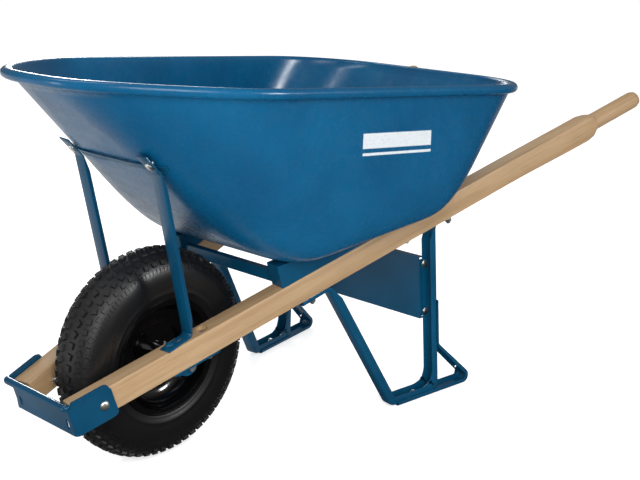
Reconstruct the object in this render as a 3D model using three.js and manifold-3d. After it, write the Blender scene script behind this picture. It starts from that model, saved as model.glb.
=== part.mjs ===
// A contractor's wheelbarrow: one pneumatic wheel between two wooden handles, a pressed steel tray,
// two pressed steel legs and a nose guard. Millimetres, +X from wheel to grips, +Y to the right, +Z up.
import * as THREE from "three";
import { mergeVertices } from "three/addons/utils/BufferGeometryUtils.js";
import Module from "manifold-3d";

const wasm = await Module();
wasm.setup();

const degree = Math.PI / 180;
const gap = 0.3; // air between pieces that touch
const slack = 0.4; // radial room round a bolt in its hole

// Wheel: a 16 in tyre on an 8 in pressed rim
const wheelRadius = 202;
const wheelSides = 32; // facets round the tyre and the rim, the same so that they nest
const tyreWidth = 100;
const tyreShoulder = 60; // height of the round part of the tyre above its widest place
const treadThickness = 11;
const sidewall = 5;
const beadRadius = 101.6;
const rimWidth = 90;
const rimFlange = 10.5; // how far the flange stands above the bead seat
const rimSheet = 2.2;
const tubeRoom = 3; // between the tube and the tyre's wall
const tubeRadius = tyreWidth / 2 - sidewall - tubeRoom; // of the inner tube's section
const tubeWall = 2.5;
const valveRadius = 3.8;
const valveLength = 32;
const valveOffset = 20; // from the middle of the wheel

// Hub and axle
const axleRadius = 8;
const axleOverhang = 10; // of the axle past each bracket
const hubLength = 118;
const hubRadius = 21;
const hubWall = 3.5;
const fittingY = -37; // of the grease fitting on the hub
const bearingWidth = 12;
const runningRoom = 0.4; // between the axle and what turns on it
const sealThickness = 1.5;
const cotterRadius = 1.6;

// Handles: 60 in wooden bars on edge, spread apart and rising to the rear
const handleWidth = 38;
const handleHeight = 48;
const handleFront = -80; // front end, measured along the handle from its datum
const handleRear = 1425; // tip of the grip
const gripStart = 1274;
const gripRadius = 19.5;
const gripRise = 22.5; // of the grip's middle above the handle's lower face
const gripTaper = 40; // length over which the square bar narrows to the grip
const handleBelly = 6; // extra depth just before the grip
const handleChamfer = 3;
const handleSlope = 15.3 * degree;
const handleSplay = 10.14 * degree;
const handleDatum = new THREE.Vector3(-156, 104, 173); // lower outer edge, right side

// Tray
const traySheet = 1.2;
const rimX = { front: -153, rear: 817 };
const rimHalf = { front: 269, rear: 331 };
const rimCorner = { front: 250, rear: 180 };
const rimBow = 70;
const rimBowReach = 150;
const rimRear = 638; // height of the rim at its rear end
const rimTilt = -0.0985; // rise per millimetre to the rear
const beadRoll = 9.5; // radius of the rolled rim
const floorX = { front: 150, rear: 600 }; // where the walls would meet the floor's plane
const floorHalf = { front: 250, rear: 330 };
const floorCorner = { front: 145, rear: 130 };
const flatInset = { front: 58, rear: 55, side: 62 }; // from there to the flat of the floor
const flatCorner = { front: 45, rear: 50 };
const floorFrontHeight = 359; // of the floor's underside at floorX.front
const floorTilt = 0.162;
const wallFillet = 0.42; // share of the wall that is still turning

// Risers between handles and tray
const riserFront = 372; // along the handle
const riserSheet = 2.5;
const riserLeast = 8; // height at which a riser ends
const tieHeight = 22;
const tieDepth = 16;

// Fasteners
const boltRadius = 4;
const headRadius = 9;
const headHeight = 4;
const nutRadius = 7.5;
const nutHeight = 6.5;
const pastNut = 4; // length of a bolt beyond its nut
const boltReach = 20; // of a hole's cutter each way from the tray's floor
const smallHead = 7.5; // for a bolt that stands between a riser's walls
const floorLean = 1.4; // lifts a head that stands a little askew of the floor clear of it
const legFall = 2; // allows for the flange turning away from the handle
const frontTrayBolt = 438; // along the handle, through the leg's front flange too
const rearTrayBolt = 690;
const legRearBolt = { along: 812, out: -26 }; // through the leg's rear flange

// Axle brackets
const bracketBolts = [130, 197];
const bracketSheet = 4;
const bracketWeb = 30; // depth of the web in from the outer face
const bracketBoss = 20;
const counterbore = { radius: 11, depth: 8 };

// Nose guard
const guardSheet = 3;
const guardBelow = 8;
const guardAbove = 10; // past the handle's upper face
const guardRear = -6; // along the handle
const guardRoom = 5; // between the handle's end and the front plate
const guardBend = 9;
const guardBolt = { along: -27, up: 21 };

// Tray braces
const braceWidth = 26;
const braceSheet = 2.5;
const braceLip = 8;
const braceY = 110;
const braceFoot = { front: 112, bend: 168 }; // along the handle
const braceHead = { height: 577, length: 46, boltFromBend: 20 };
const braceBend = 6;
const strapHeight = 13;
const strapSheet = 2;
const strapHalf = 132;

// Legs: pressed channels, bent to a V and leaning outwards
const legWidth = 28;
const legLip = 18;
const legSheet = 2.5;
const legSeat = 10; // depth of the channel where it runs under the handle
const lipStub = 0.2; // what is left of a lip where a channel is flattened
const legFrontEnd = 236;
const legFrontBend = 299;
const legToe = 449;
const legRear = 585;
const legRearEnd = 642;
const legBend = 20;
const legTopBend = 9;
const legPlane = { y: 137.9, perX: 0.1485, perZ: -0.0538 }; // middle of the leg's width

// Stabilizers: channels wrapped round the foot and the back of each leg
const stabilizerSheet = 2.5;
const stabilizerLip = 10;
const stabilizerFront = 467;
const heelX = 697;
const heelBend = 16;
const stabilizerBendHeight = 108;
const stabilizerTop = 205;
const footBolt = 522;

// Cross plate between the legs
const plateSheet = 2.2;
const plateX = 560;
const plateBottom = 162;
const plateTop = 298;
const plateLip = 12;
const plateTab = 20;
const plateBolts = [178, 282]; // heights
const plateBoltIn = 13; // behind the plate's front face
const leanRoom = 0.6; // lets a head or nut sit level beside the leaning leg

// Colours
const blueEnamel = { color: 0x0b5f91, roughness: 0.3, metalness: 0.1 };
const darkBlueEnamel = { color: 0x0c4a72, roughness: 0.35, metalness: 0.1 };
const ash = { color: 0xb5956b, roughness: 0.6, metalness: 0 };
const rubber = { color: 0x1e1e20, roughness: 0.8, metalness: 0 };
const blackEnamel = { color: 0x121214, roughness: 0.3, metalness: 0.2 };
const zinc = { color: 0xc4c7c9, roughness: 0.3, metalness: 1 };
const nylon = { color: 0x2a2a2a, roughness: 0.5, metalness: 0 };

// Solids and skins ------------------------------------------------------------------------------

function toSolid(geometry) {
  const source = geometry.index ? geometry.toNonIndexed() : geometry;
  const bare = new THREE.BufferGeometry().setAttribute("position", source.getAttribute("position"));
  const merged = mergeVertices(bare, 1e-4);
  const vertProperties = merged.attributes.position.array;
  const triVerts = new Uint32Array(merged.index.array);
  return new wasm.Manifold(new wasm.Mesh({ numProp: 3, vertProperties, triVerts }));
}

function toGeometry(solid) {
  const mesh = solid.getMesh();
  const stride = mesh.numProp;
  const positions = new Float32Array(mesh.numVert * 3);
  for (let i = 0; i < mesh.numVert; i += 1) {
    positions.set(mesh.vertProperties.subarray(i * stride, i * stride + 3), i * 3);
  }
  const geometry = new THREE.BufferGeometry();
  geometry.setAttribute("position", new THREE.BufferAttribute(positions, 3));
  geometry.setIndex(new THREE.BufferAttribute(new Uint32Array(mesh.triVerts), 1));
  return geometry;
}

const join = (...geometries) => toGeometry(geometries.map(toSolid).reduce((a, b) => a.add(b)));
const cut = (geometry, ...tools) =>
  toGeometry(tools.map(toSolid).reduce((a, b) => a.subtract(b), toSolid(geometry)));

function volumeOf(geometry) {
  const { position } = geometry.attributes;
  const at = (k) => new THREE.Vector3().fromBufferAttribute(position, geometry.index.getX(k));
  let volume = 0;
  for (let i = 0; i < geometry.index.count; i += 3) volume += at(i).dot(at(i + 1).cross(at(i + 2)));
  return volume;
}

// Caps for a loft: its flat outline cut into triangles, or a fan about a middle point of each end.
function outlineCaps(outline, last) {
  const sign = Math.sign(THREE.ShapeUtils.area(outline));
  return THREE.ShapeUtils.triangulateShape(outline, []).flatMap((face) => {
    const turned = THREE.ShapeUtils.area(face.map((i) => outline[i])) * sign < 0;
    const [a, b, c] = turned ? [face[0], face[2], face[1]] : face;
    return [a, c, b, last + a, last + b, last + c];
  });
}

function fanCaps(count, last) {
  const middle = last + count;
  return Array.from({ length: count }, (_, a) => {
    const b = (a + 1) % count;
    return [b, a, middle, last + a, last + b, middle + 1];
  }).flat();
}

const meanOf = (ring) => ring.reduce((sum, p) => sum.add(p), new THREE.Vector3()).divideScalar(ring.length);

// A closed skin through rings with equally many points; outline is the ring seen flat, for its caps.
function loft(rings, outline = null) {
  const count = rings[0].length;
  const index = [];
  for (let r = 0; r + 1 < rings.length; r += 1) {
    for (let i = 0; i < count; i += 1) {
      const a = r * count + i;
      const b = r * count + ((i + 1) % count);
      index.push(a, b, b + count, a, b + count, a + count);
    }
  }
  const last = (rings.length - 1) * count;
  index.push(...(outline ? outlineCaps(outline, last) : fanCaps(count, last)));
  const geometry = new THREE.BufferGeometry();
  const middles = outline ? [] : [meanOf(rings[0]), meanOf(rings[rings.length - 1])];
  const positions = [...rings.flat(), ...middles].flatMap((p) => [p.x, p.y, p.z]);
  geometry.setAttribute("position", new THREE.Float32BufferAttribute(positions, 3));
  geometry.setIndex(index);
  if (volumeOf(geometry) < 0) geometry.setIndex(index.reverse());
  return geometry;
}

// A closed profile of [radius, along] pairs turned round the Y axis.
function turned(profile, segments) {
  const points = profile.map(([radius, along]) => new THREE.Vector2(radius, along));
  const loop = points.concat(points[0]);
  if (THREE.ShapeUtils.area(points) < 0) loop.reverse();
  return new THREE.LatheGeometry(loop, segments);
}

// A round rod between two points.
function rod(radius, from, to, sides = 12) {
  const length = from.distanceTo(to);
  const geometry = new THREE.CylinderGeometry(radius, radius, length, sides);
  geometry.translate(0, length / 2, 0);
  const along = to.clone().sub(from).normalize();
  geometry.applyQuaternion(new THREE.Quaternion().setFromUnitVectors(new THREE.Vector3(0, 1, 0), along));
  return geometry.translate(from.x, from.y, from.z);
}

// A flat path of { x, z, lip, radius } corners, its bends drawn as arcs, with the direction at each point.
function bentPath(corners, steps = 4) {
  const path = [];
  const flat = corners.map((c) => new THREE.Vector2(c.x, c.z));
  corners.forEach((corner, i) => {
    const before = i > 0 ? flat[i].clone().sub(flat[i - 1]).normalize() : null;
    const after = i + 1 < flat.length ? flat[i + 1].clone().sub(flat[i]).normalize() : null;
    if (!before || !after || !corner.radius) {
      path.push({ at: flat[i], toward: after ?? before, lip: corner.lip });
      return;
    }
    const turn = Math.atan2(before.cross(after), before.dot(after));
    const start = flat[i].clone().addScaledVector(before, -corner.radius * Math.tan(Math.abs(turn) / 2));
    const side = new THREE.Vector2(-before.y, before.x).multiplyScalar(Math.sign(turn));
    const centre = start.clone().addScaledVector(side, corner.radius);
    for (let k = 0; k <= steps; k += 1) {
      const angle = (turn * k) / steps;
      const at = start.clone().rotateAround(centre, angle);
      path.push({ at, toward: before.clone().rotateAround(new THREE.Vector2(), angle), lip: corner.lip });
    }
  });
  return path;
}

// A bent channel: its web's outer face follows the path, its lips stand up on the path's left.
function channel(path, width, sheet, place) {
  const half = width / 2;
  const outlineFor = (lip) =>
    [[-half, 0], [half, 0], [half, lip], [half - sheet, lip], [half - sheet, sheet],
      [sheet - half, sheet], [sheet - half, lip], [-half, lip]].map(([u, v]) => new THREE.Vector2(u, v));
  const rings = path.map(({ at, toward, lip }) =>
    outlineFor(lip).map(({ x: across, y: inward }) =>
      place(at.x - toward.y * inward, at.y + toward.x * inward, across)));
  return loft(rings, outlineFor(path[0].lip));
}

// A bolt along +Z with the underside of its domed head at the origin, and a nut that may be part of it.
function bolt(length, nutAt = null, head = headRadius) {
  const profile = [[0, headHeight], [head * 0.55, headHeight * 0.8], [head, headHeight * 0.15], [head, 0],
    [boltRadius, 0], [boltRadius, -length], [0, -length]];
  const shank = new THREE.LatheGeometry(profile.reverse().map(([r, z]) => new THREE.Vector2(r, z)), 8);
  shank.rotateX(Math.PI / 2);
  if (nutAt === null) return shank;
  const onAxis = (z) => new THREE.Vector3(0, 0, z);
  return join(shank, rod(nutRadius, onAxis(nutAt), onAxis(nutAt - nutHeight), 6));
}

function nut() {
  const bore = (boltRadius + slack) / Math.cos(30 * degree);
  const ring = turned([[bore, 0], [nutRadius, 0], [nutRadius, nutHeight], [bore, nutHeight]], 6);
  return ring.rotateX(Math.PI / 2);
}

// Frames of reference ---------------------------------------------------------------------------

// Along a handle: x forward to rear, y outwards from the outer face, z up from the lower face.
const handleTurn = new THREE.Euler(0, -handleSlope, handleSplay, "ZYX");
const handleFrame = new THREE.Matrix4().makeRotationFromEuler(handleTurn).setPosition(handleDatum);
const handleInverse = handleFrame.clone().invert();
const onHandle = (along, out, up) => new THREE.Vector3(along, out, up).applyMatrix4(handleFrame);
const handleUp = new THREE.Vector3(0, 0, 1).transformDirection(handleFrame);
const handleMiddle = -handleWidth / 2;
const handleCross = -handleUp.y / handleUp.z; // rise of the handle's faces per millimetre of Y

// Height of the handle's lower face under a point of the plan.
function handleUnderside(x, y) {
  const { x: dx, y: dy } = new THREE.Vector2(x - handleDatum.x, y - handleDatum.y);
  return handleDatum.z - (dx * handleUp.x + dy * handleUp.y) / handleUp.z;
}

// Height above the handle's lower face of a plane parallel to the tray's floor.
function floorOverHandle(along, out, lift) {
  const base = onHandle(along, out, 0);
  const floor = floorFrontHeight + lift + floorTilt * (base.x - floorX.front);
  return (floor - base.z) / (handleUp.z - floorTilt * handleUp.x);
}

// A point on the leg's middle plane, or beside it.
const legNormal = new THREE.Vector3(-legPlane.perX, 1, 0).normalize();
function onLeg(x, z, across = 0) {
  const middle = new THREE.Vector3(x, legPlane.y + legPlane.perX * x + legPlane.perZ * z, z);
  return middle.addScaledVector(legNormal, across);
}

// Where the leg's web runs just below the handle at x.
function legTopAt(x) {
  const guess = legPlane.y + legPlane.perX * x;
  const y = guess + legPlane.perZ * handleUnderside(x, guess);
  return handleUnderside(x, y) - (legSeat + 2 * gap) / Math.cos(handleSlope);
}

// Tray ------------------------------------------------------------------------------------------

const straightSteps = 3;
const cornerSteps = 6;

// Half of a tapered rounded rectangle, from the middle of its front to the middle of its rear.
function halfOutline(x, half, corner, inset) {
  const corners = [
    { x: x.front + inset, z: 0 },
    { x: x.front + inset, z: half.front - inset, radius: corner.front - inset },
    { x: x.rear - inset, z: half.rear - inset, radius: corner.rear - inset },
    { x: x.rear - inset, z: 0 },
  ];
  const arcs = bentPath(corners, cornerSteps).map((p) => p.at);
  const points = [];
  arcs.forEach((point, i) => {
    points.push(point);
    if (i !== 0 && i !== cornerSteps + 1 && i !== 2 * cornerSteps + 2) return;
    for (let k = 1; k < straightSteps; k += 1) {
      points.push(point.clone().lerp(arcs[i + 1], k / straightSteps));
    }
  });
  return points;
}

function fullOutline(half) {
  const mirrored = half.slice(1, -1).reverse().map((p) => new THREE.Vector2(p.x, -p.y));
  return half.concat(mirrored);
}

const floorHeight = (x, lift) => floorFrontHeight + lift + floorTilt * (x - floorX.front);
const rimHeight = (x) => rimRear + rimTilt * (x - rimX.rear);

const flatX = { front: floorX.front + flatInset.front, rear: floorX.rear - flatInset.rear };
const flatHalf = { front: floorHalf.front - flatInset.side, rear: floorHalf.rear - flatInset.side };

function ringOnFloor(x, half, corner, inset, lift) {
  return fullOutline(halfOutline(x, half, corner, inset))
    .map((p) => new THREE.Vector3(p.x, p.y, floorHeight(p.x, lift)));
}

function rimRing(inset, drop) {
  const outline = fullOutline(halfOutline(rimX, rimHalf, rimCorner, inset));
  return outline.map((p) => {
    const near = THREE.MathUtils.clamp(1 - (p.x - rimX.front) / rimBowReach, 0, 1);
    const bow = rimBow * near * Math.max(0, 1 - (p.y / rimHalf.front) ** 2);
    return new THREE.Vector3(p.x - bow, p.y, rimHeight(p.x - bow) - drop);
  });
}

// One surface of the tray from its floor to its rim, as rings.
function trayWall(inset, lift, top) {
  const flat = ringOnFloor(flatX, flatHalf, flatCorner, inset / 2, lift);
  const corner = ringOnFloor(floorX, floorHalf, floorCorner, inset, lift);
  const levels = [0, 0.25, 0.5, 0.75, 1];
  const bend = levels.map((t) => flat.map((p, j) => {
    const end = corner[j].clone().lerp(top[j], wallFillet);
    const low = p.clone().lerp(corner[j], t);
    return low.lerp(corner[j].clone().lerp(end, t), t);
  }));
  const rise = [0.35, 0.6, 0.8, 1].map((t) => {
    const share = wallFillet + (1 - wallFillet) * t;
    return corner.map((p, j) => p.clone().lerp(top[j], share));
  });
  return bend.concat(rise);
}

const rollPoint = (angle) =>
  rimRing(-beadRoll * Math.cos(angle * degree), -beadRoll * Math.sin(angle * degree));
const outerWall = trayWall(0, 0, rollPoint(-135));
const innerWall = trayWall(traySheet, traySheet, rollPoint(180));

function trayShell() {
  const roll = [-90, -45, 0, 45, 90, 135].map(rollPoint);
  const rings = [...outerWall, ...roll, ...innerWall.slice().reverse()];
  return loft(rings);
}

// A hole along a handle's upward direction, on both sides of the barrow.
function uprightHoles(along, radius, from, to) {
  const hole = rod(radius, onHandle(along, handleMiddle, from), onHandle(along, handleMiddle, to));
  return [hole, mirroredY(hole)];
}

function mirroredY(geometry) {
  const copy = geometry.clone().applyMatrix4(new THREE.Matrix4().makeScale(1, -1, 1));
  const flat = copy.index ? copy.toNonIndexed() : copy;
  const position = flat.attributes.position;
  const turnedRound = new Float32Array(position.array.length);
  for (let i = 0; i < position.count; i += 3) {
    [0, 2, 1].forEach((from, to) => {
      turnedRound.set(position.array.subarray((i + from) * 3, (i + from) * 3 + 3), (i + to) * 3);
    });
  }
  return new THREE.BufferGeometry().setAttribute("position", new THREE.BufferAttribute(turnedRound, 3));
}

// Where the outer face of the tray's front wall is, at a given height and distance from the middle.
function frontWallX(y, z) {
  const columns = outerWall[0].length;
  const half = Math.floor(columns / 2);
  const crossings = [];
  for (let j = 0; j <= half; j += 1) {
    for (let r = 4; r + 1 < outerWall.length; r += 1) {
      const low = outerWall[r][j];
      const high = outerWall[r + 1][j];
      if (low.z > z || high.z < z) continue;
      const share = (z - low.z) / (high.z - low.z);
      crossings.push(low.clone().lerp(high, share));
      break;
    }
  }
  for (let k = 0; k + 1 < crossings.length; k += 1) {
    const [a, b] = [crossings[k], crossings[k + 1]];
    if (a.y > Math.abs(y) || b.y < Math.abs(y)) continue;
    return a.x + ((b.x - a.x) * (Math.abs(y) - a.y)) / (b.y - a.y);
  }
  return crossings[0].x;
}

const floorAtBolt = (along) => floorOverHandle(along, handleMiddle, 0);

function trayGeometry() {
  const holes = [frontTrayBolt, rearTrayBolt].flatMap((along) =>
    uprightHoles(along, boltRadius + slack, floorAtBolt(along) - boltReach, floorAtBolt(along) + boltReach));
  const heads = [-1, 1].map((side) => braceBoltRod(boltRadius + slack, side));
  return cut(trayShell(), ...holes, ...heads);
}

// Braces ----------------------------------------------------------------------------------------

// The brace leans on the front wall: its head follows the wall's slope, outside the strap.
const wallAt = (z) => new THREE.Vector2(frontWallX(braceY - braceWidth / 2, z), z);
const wallSlope = wallAt(braceHead.height + 35).sub(wallAt(braceHead.height)).normalize();
const wallOut = new THREE.Vector2(-wallSlope.y, wallSlope.x);
const strapStand = 2.4; // room for the wall's curve behind the strap
const headStand = strapStand + strapSheet + gap + braceSheet;
const wallFall = frontWallX(braceY + braceWidth / 2, braceHead.height) - wallAt(braceHead.height).x;
const braceCorner = wallAt(braceHead.height).addScaledVector(wallOut, headStand);
const braceBoltSpot = braceCorner.clone().addScaledVector(wallSlope, braceHead.boltFromBend);

function braceBoltRod(radius, side) {
  const spot = new THREE.Vector3(braceBoltSpot.x, side * braceY, braceBoltSpot.y);
  const along = new THREE.Vector3(wallOut.x, 0, wallOut.y);
  return rod(radius, spot.clone().addScaledVector(along, 20), spot.clone().addScaledVector(along, -25));
}

function braceGeometry() {
  const flat = braceSheet + lipStub;
  const overHandle = (along) => {
    const spot = onHandle(along, handleMiddle, handleHeight + gap + flat);
    return new THREE.Vector2(spot.x, spot.z + (braceY - spot.y) * handleCross);
  };
  const foot = overHandle(braceFoot.bend);
  const toe = overHandle(braceFoot.front);
  const top = braceCorner.clone().addScaledVector(wallSlope, braceHead.length);
  const run = foot.clone().sub(braceCorner);
  const strutAt = (share) => braceCorner.clone().addScaledVector(run, share);
  const corners = [
    { x: top.x, z: top.y, lip: flat },
    { x: braceCorner.x, z: braceCorner.y, lip: flat, radius: braceBend },
    { x: strutAt(0.1).x, z: strutAt(0.1).y, lip: braceLip },
    { x: strutAt(0.9).x, z: strutAt(0.9).y, lip: braceLip },
    { x: foot.x, z: foot.y, lip: flat, radius: braceBend },
    { x: toe.x, z: toe.y, lip: flat },
  ];
  const place = (x, z, across) => new THREE.Vector3(x, braceY + across, z + across * handleCross);
  const body = channel(bentPath(corners), braceWidth, braceSheet, place);
  const foothole = rod(boltRadius + slack, onHandle(bracketBolts[0], handleMiddle, handleHeight - 8),
    onHandle(bracketBolts[0], handleMiddle, handleHeight + 22));
  return cut(body, foothole, braceBoltRod(boltRadius + slack, 1));
}

function strapGeometry() {
  const along = [-1, -0.8, -0.6, -0.4, -0.2, 0, 0.2, 0.4, 0.6, 0.8, 1].map((t) => t * strapHalf);
  const outline = [[0, 0], [strapSheet, 0], [strapSheet, strapHeight], [0, strapHeight]];
  const low = braceBoltSpot.y - strapHeight / 2;
  const rings = along.map((y) => outline.map(([out, up]) => {
    const z = low + up * wallSlope.y;
    const onWall = new THREE.Vector2(frontWallX(y, z), z).addScaledVector(wallOut, out + strapStand);
    return new THREE.Vector3(onWall.x, y, onWall.y);
  }));
  const body = loft(rings, outline.map(([u, v]) => new THREE.Vector2(u, v)));
  return cut(body, braceBoltRod(boltRadius + slack, 1), braceBoltRod(boltRadius + slack, -1));
}

// Handles and what is bolted to them, in the handle's own frame ----------------------------------

function handleRing(along, low, high, half, corner) {
  const ring = [];
  for (const [u, v, start] of [[1, 1, 0], [-1, 1, 90], [-1, -1, 180], [1, -1, 270]]) {
    for (const angle of [0, 45, 90].map((a) => (a + start) * degree)) {
      const middle = (low + high) / 2;
      const rise = (high - low) / 2;
      const y = handleMiddle + u * (half - corner) + corner * Math.cos(angle);
      const z = middle + v * (rise - corner) + corner * Math.sin(angle);
      ring.push(new THREE.Vector3(along, y, z));
    }
  }
  return ring;
}

function handleGeometry() {
  const half = handleWidth / 2;
  const grip = (along, radius) =>
    handleRing(along, gripRise - radius, gripRise + radius, radius, radius - 0.2);
  const taper = gripStart - gripTaper;
  const rings = [
    handleRing(handleFront, 0, handleHeight, half, handleChamfer),
    handleRing(taper - 260, 0, handleHeight, half, handleChamfer),
    handleRing(taper, -handleBelly, handleHeight, half, handleChamfer + 2),
    handleRing(taper + gripTaper * 0.45, -handleBelly, handleHeight - 2, half, handleChamfer + 6),
    grip(gripStart, gripRadius),
    grip(handleRear - 14, gripRadius),
    grip(handleRear - 4, gripRadius * 0.8),
    grip(handleRear, gripRadius * 0.45),
  ];
  const body = loft(rings, rings[0].map((p) => new THREE.Vector2(p.y, p.z)));
  const upright = (along, radius, from, to, out = handleMiddle) =>
    rod(radius, new THREE.Vector3(along, out, from), new THREE.Vector3(along, out, to));
  const through = [frontTrayBolt, rearTrayBolt, ...bracketBolts].map((along) =>
    upright(along, boltRadius + slack, -5, handleHeight + 5));
  through.push(upright(legRearBolt.along, boltRadius + slack, -10, handleHeight + 5, legRearBolt.out));
  const seat = handleHeight - counterbore.depth;
  const recess = upright(bracketBolts[1], counterbore.radius, seat, handleHeight + 5);
  const side = rod(boltRadius + slack, new THREE.Vector3(guardBolt.along, 5, guardBolt.up),
    new THREE.Vector3(guardBolt.along, -handleWidth - 5, guardBolt.up));
  return cut(body, ...through, recess, side);
}

// A wedge-shaped inverted channel that levels the tray on the sloping handle.
function riserGeometry() {
  const sides = [-1.5, 1.5 - handleWidth];
  const base = handleHeight + gap;
  const top = (along, out) => floorOverHandle(along, out, -gap);
  const drop = top(riserFront, 0) - top(riserFront + 1, 0);
  const rear = riserFront + (top(riserFront, 0) - base - riserLeast) / drop;
  const [outer, inner] = sides;
  const ring = (along) => [
    [outer, base], [outer, top(along, outer)], [inner, top(along, inner)], [inner, base],
    [inner + riserSheet, base], [inner + riserSheet, top(along, inner) - riserSheet],
    [outer - riserSheet, top(along, outer) - riserSheet], [outer - riserSheet, base],
  ].map(([y, z]) => new THREE.Vector3(along, y, z));
  const flat = (points) => points.map((p) => new THREE.Vector2(p.y, p.z));
  const skin = loft([ring(riserFront), ring(rear)], flat(ring(riserFront)));
  const face = (along) => ring(along).slice(0, 4);
  const front = loft([face(riserFront), face(riserFront + riserSheet)], flat(face(riserFront)));
  const overBolt = (along, up) => new THREE.Vector3(along, handleMiddle, base + up);
  const holes = [frontTrayBolt, rearTrayBolt].map((along) =>
    rod(boltRadius + slack, overBolt(along, -5), overBolt(along, floorAtBolt(along) - base + 5)));
  return cut(join(skin, front), ...holes);
}

// The angle bar that ties the two risers together, just above the handles.
function riserTieGeometry() {
  const reach = (along, up) => onHandle(along, 1.5 - handleWidth - gap, handleHeight + up);
  const { x, z } = reach(riserFront + 4, 2);
  const shelf = tieHeight - riserSheet;
  const outline = [[0, 0], [riserSheet, 0], [riserSheet, shelf], [tieDepth, shelf], [tieDepth, tieHeight],
    [0, tieHeight]];
  const start = reach(riserFront, 0);
  const sideOf = (px) => start.y + (px - start.x) * Math.tan(handleSplay) - gap;
  const ring = (side) => outline.map(([dx, dz]) => new THREE.Vector3(x + dx, side * sideOf(x + dx), z + dz));
  return loft([ring(-1), ring(1)], outline.map(([u, v]) => new THREE.Vector2(u, v)));
}

// Where the axle's line crosses the bracket's web, in the handle's frame.
const webMiddle = -bracketWeb - bracketSheet / 2;
const axleOnHandle = (() => {
  const at = (y) => new THREE.Vector3(0, y, wheelRadius).applyMatrix4(handleInverse);
  const slope = at(1).y - at(0).y;
  const y = (webMiddle - at(0).y) / slope;
  return { y, spot: at(y) };
})();
const webInnerY = axleOnHandle.y - (bracketSheet / 2 + bracketSheet) / Math.cos(handleSplay);
const webOuterY = axleOnHandle.y + (bracketSheet / 2 + bracketSheet) / Math.cos(handleSplay);

function bracketGeometry() {
  const { spot } = axleOnHandle;
  const front = bracketBolts[0] - 16;
  const rear = bracketBolts[1] + 16;
  const flange = new THREE.BoxGeometry(rear - front, handleWidth - 6, bracketSheet);
  flange.translate((front + rear) / 2, handleMiddle, -gap - bracketSheet / 2);
  const shape = new THREE.Shape();
  shape.moveTo(front + 8, -gap - bracketSheet / 2);
  shape.absarc(spot.x, spot.z, bracketBoss, 210 * degree, 330 * degree);
  shape.lineTo(rear - 8, -gap - bracketSheet / 2);
  const flatCut = { depth: bracketSheet, bevelEnabled: false, curveSegments: 6 };
  const web = new THREE.ExtrudeGeometry(shape, flatCut);
  web.rotateX(Math.PI / 2).translate(0, -bracketWeb, 0);
  const onAxle = (y) => new THREE.Vector3(0, y, wheelRadius);
  const hole = rod(axleRadius + 1, onAxle(60), onAxle(140), 16);
  hole.applyMatrix4(handleInverse);
  const bolts = bracketBolts.map((along) => rod(boltRadius + slack,
    new THREE.Vector3(along, handleMiddle, 5), new THREE.Vector3(along, handleMiddle, -12)));
  return cut(join(flange, web), hole, ...bolts);
}

// Nose guard: a strap bent round both handle ends, in the plane of the handles.
function guardGeometry() {
  const lean = new THREE.Vector3(Math.cos(handleSlope), 0, Math.sin(handleSlope));
  const up = new THREE.Vector3(-Math.sin(handleSlope), 0, Math.cos(handleSlope));
  const flat = (along, out) => {
    const p = onHandle(along, out, 0);
    return new THREE.Vector2(p.dot(lean), p.y);
  };
  const out = gap + guardSheet;
  const rear = flat(guardRear, out);
  const corner = flat(handleFront - guardRoom - guardSheet, out);
  const height = { low: -guardBelow, high: handleHeight + guardAbove };
  const lift = onHandle(0, 0, 0).dot(up);
  const corners = [
    { x: rear.x, z: rear.y, lip: 0 },
    { x: corner.x, z: corner.y, lip: 0, radius: guardBend },
    { x: corner.x, z: -corner.y, lip: 0, radius: guardBend },
    { x: rear.x, z: -rear.y, lip: 0 },
  ];
  const outline = [[0, height.low], [guardSheet, height.low], [guardSheet, height.high], [0, height.high]];
  const rings = bentPath(corners).map(({ at, toward }) => outline.map(([inward, h]) => {
    const along = at.x - toward.y * inward;
    const across = at.y + toward.x * inward;
    const twist = (Math.sign(at.y) * Math.abs(toward.x) * handleUp.y) / Math.cos(handleSplay);
    const point = new THREE.Vector3().addScaledVector(lean, along).addScaledVector(up, lift + h);
    return point.setY(across + h * twist);
  }));
  const body = loft(rings, outline.map(([u, v]) => new THREE.Vector2(u, v)));
  const beside = (side) => onHandle(guardBolt.along, side, guardBolt.up);
  const hole = rod(boltRadius + slack, beside(-5), beside(15));
  return cut(body, hole, mirroredY(hole));
}

// Legs and stabilizers --------------------------------------------------------------------------

function legGeometry() {
  const frontBend = new THREE.Vector2(legFrontBend, legTopAt(legFrontBend));
  const footHeight = stabilizerSheet + gap;
  const toe = new THREE.Vector2(legToe, footHeight);
  const early = frontBend.clone().lerp(toe, 0.1);
  const rearTop = legTopAt(legRear);
  const corners = [
    { x: legFrontEnd, z: legTopAt(legFrontEnd), lip: legSeat },
    { x: frontBend.x, z: frontBend.y, lip: legSeat, radius: legTopBend },
    { x: early.x, z: early.y, lip: legLip },
    { x: toe.x, z: toe.y, lip: legLip, radius: legBend },
    { x: legRear, z: footHeight, lip: legLip, radius: legBend },
    { x: legRear, z: rearTop - 30, lip: legLip },
    { x: legRear, z: rearTop, lip: legSeat, radius: legTopBend },
    { x: legRearEnd, z: legTopAt(legRearEnd), lip: legSeat },
  ];
  const body = channel(bentPath(corners), legWidth, legSheet, onLeg);
  const upright = [[frontTrayBolt, handleMiddle], [legRearBolt.along, legRearBolt.out]].map(([along, out]) =>
    rod(boltRadius + slack, onHandle(along, out, 5), onHandle(along, out, -25)));
  return cut(body, ...upright, footHole(), ...plateBolts.map(plateHole));
}

const footSpot = (z) => onLeg(footBolt, 0).setZ(z);
const footHole = () => rod(boltRadius + slack, footSpot(-5), footSpot(15));

function plateHole(z) {
  const through = (off) => onLeg(plateX + plateBoltIn, z, off - legWidth / 2);
  return rod(boltRadius + slack, through(-8), through(6));
}

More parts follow.
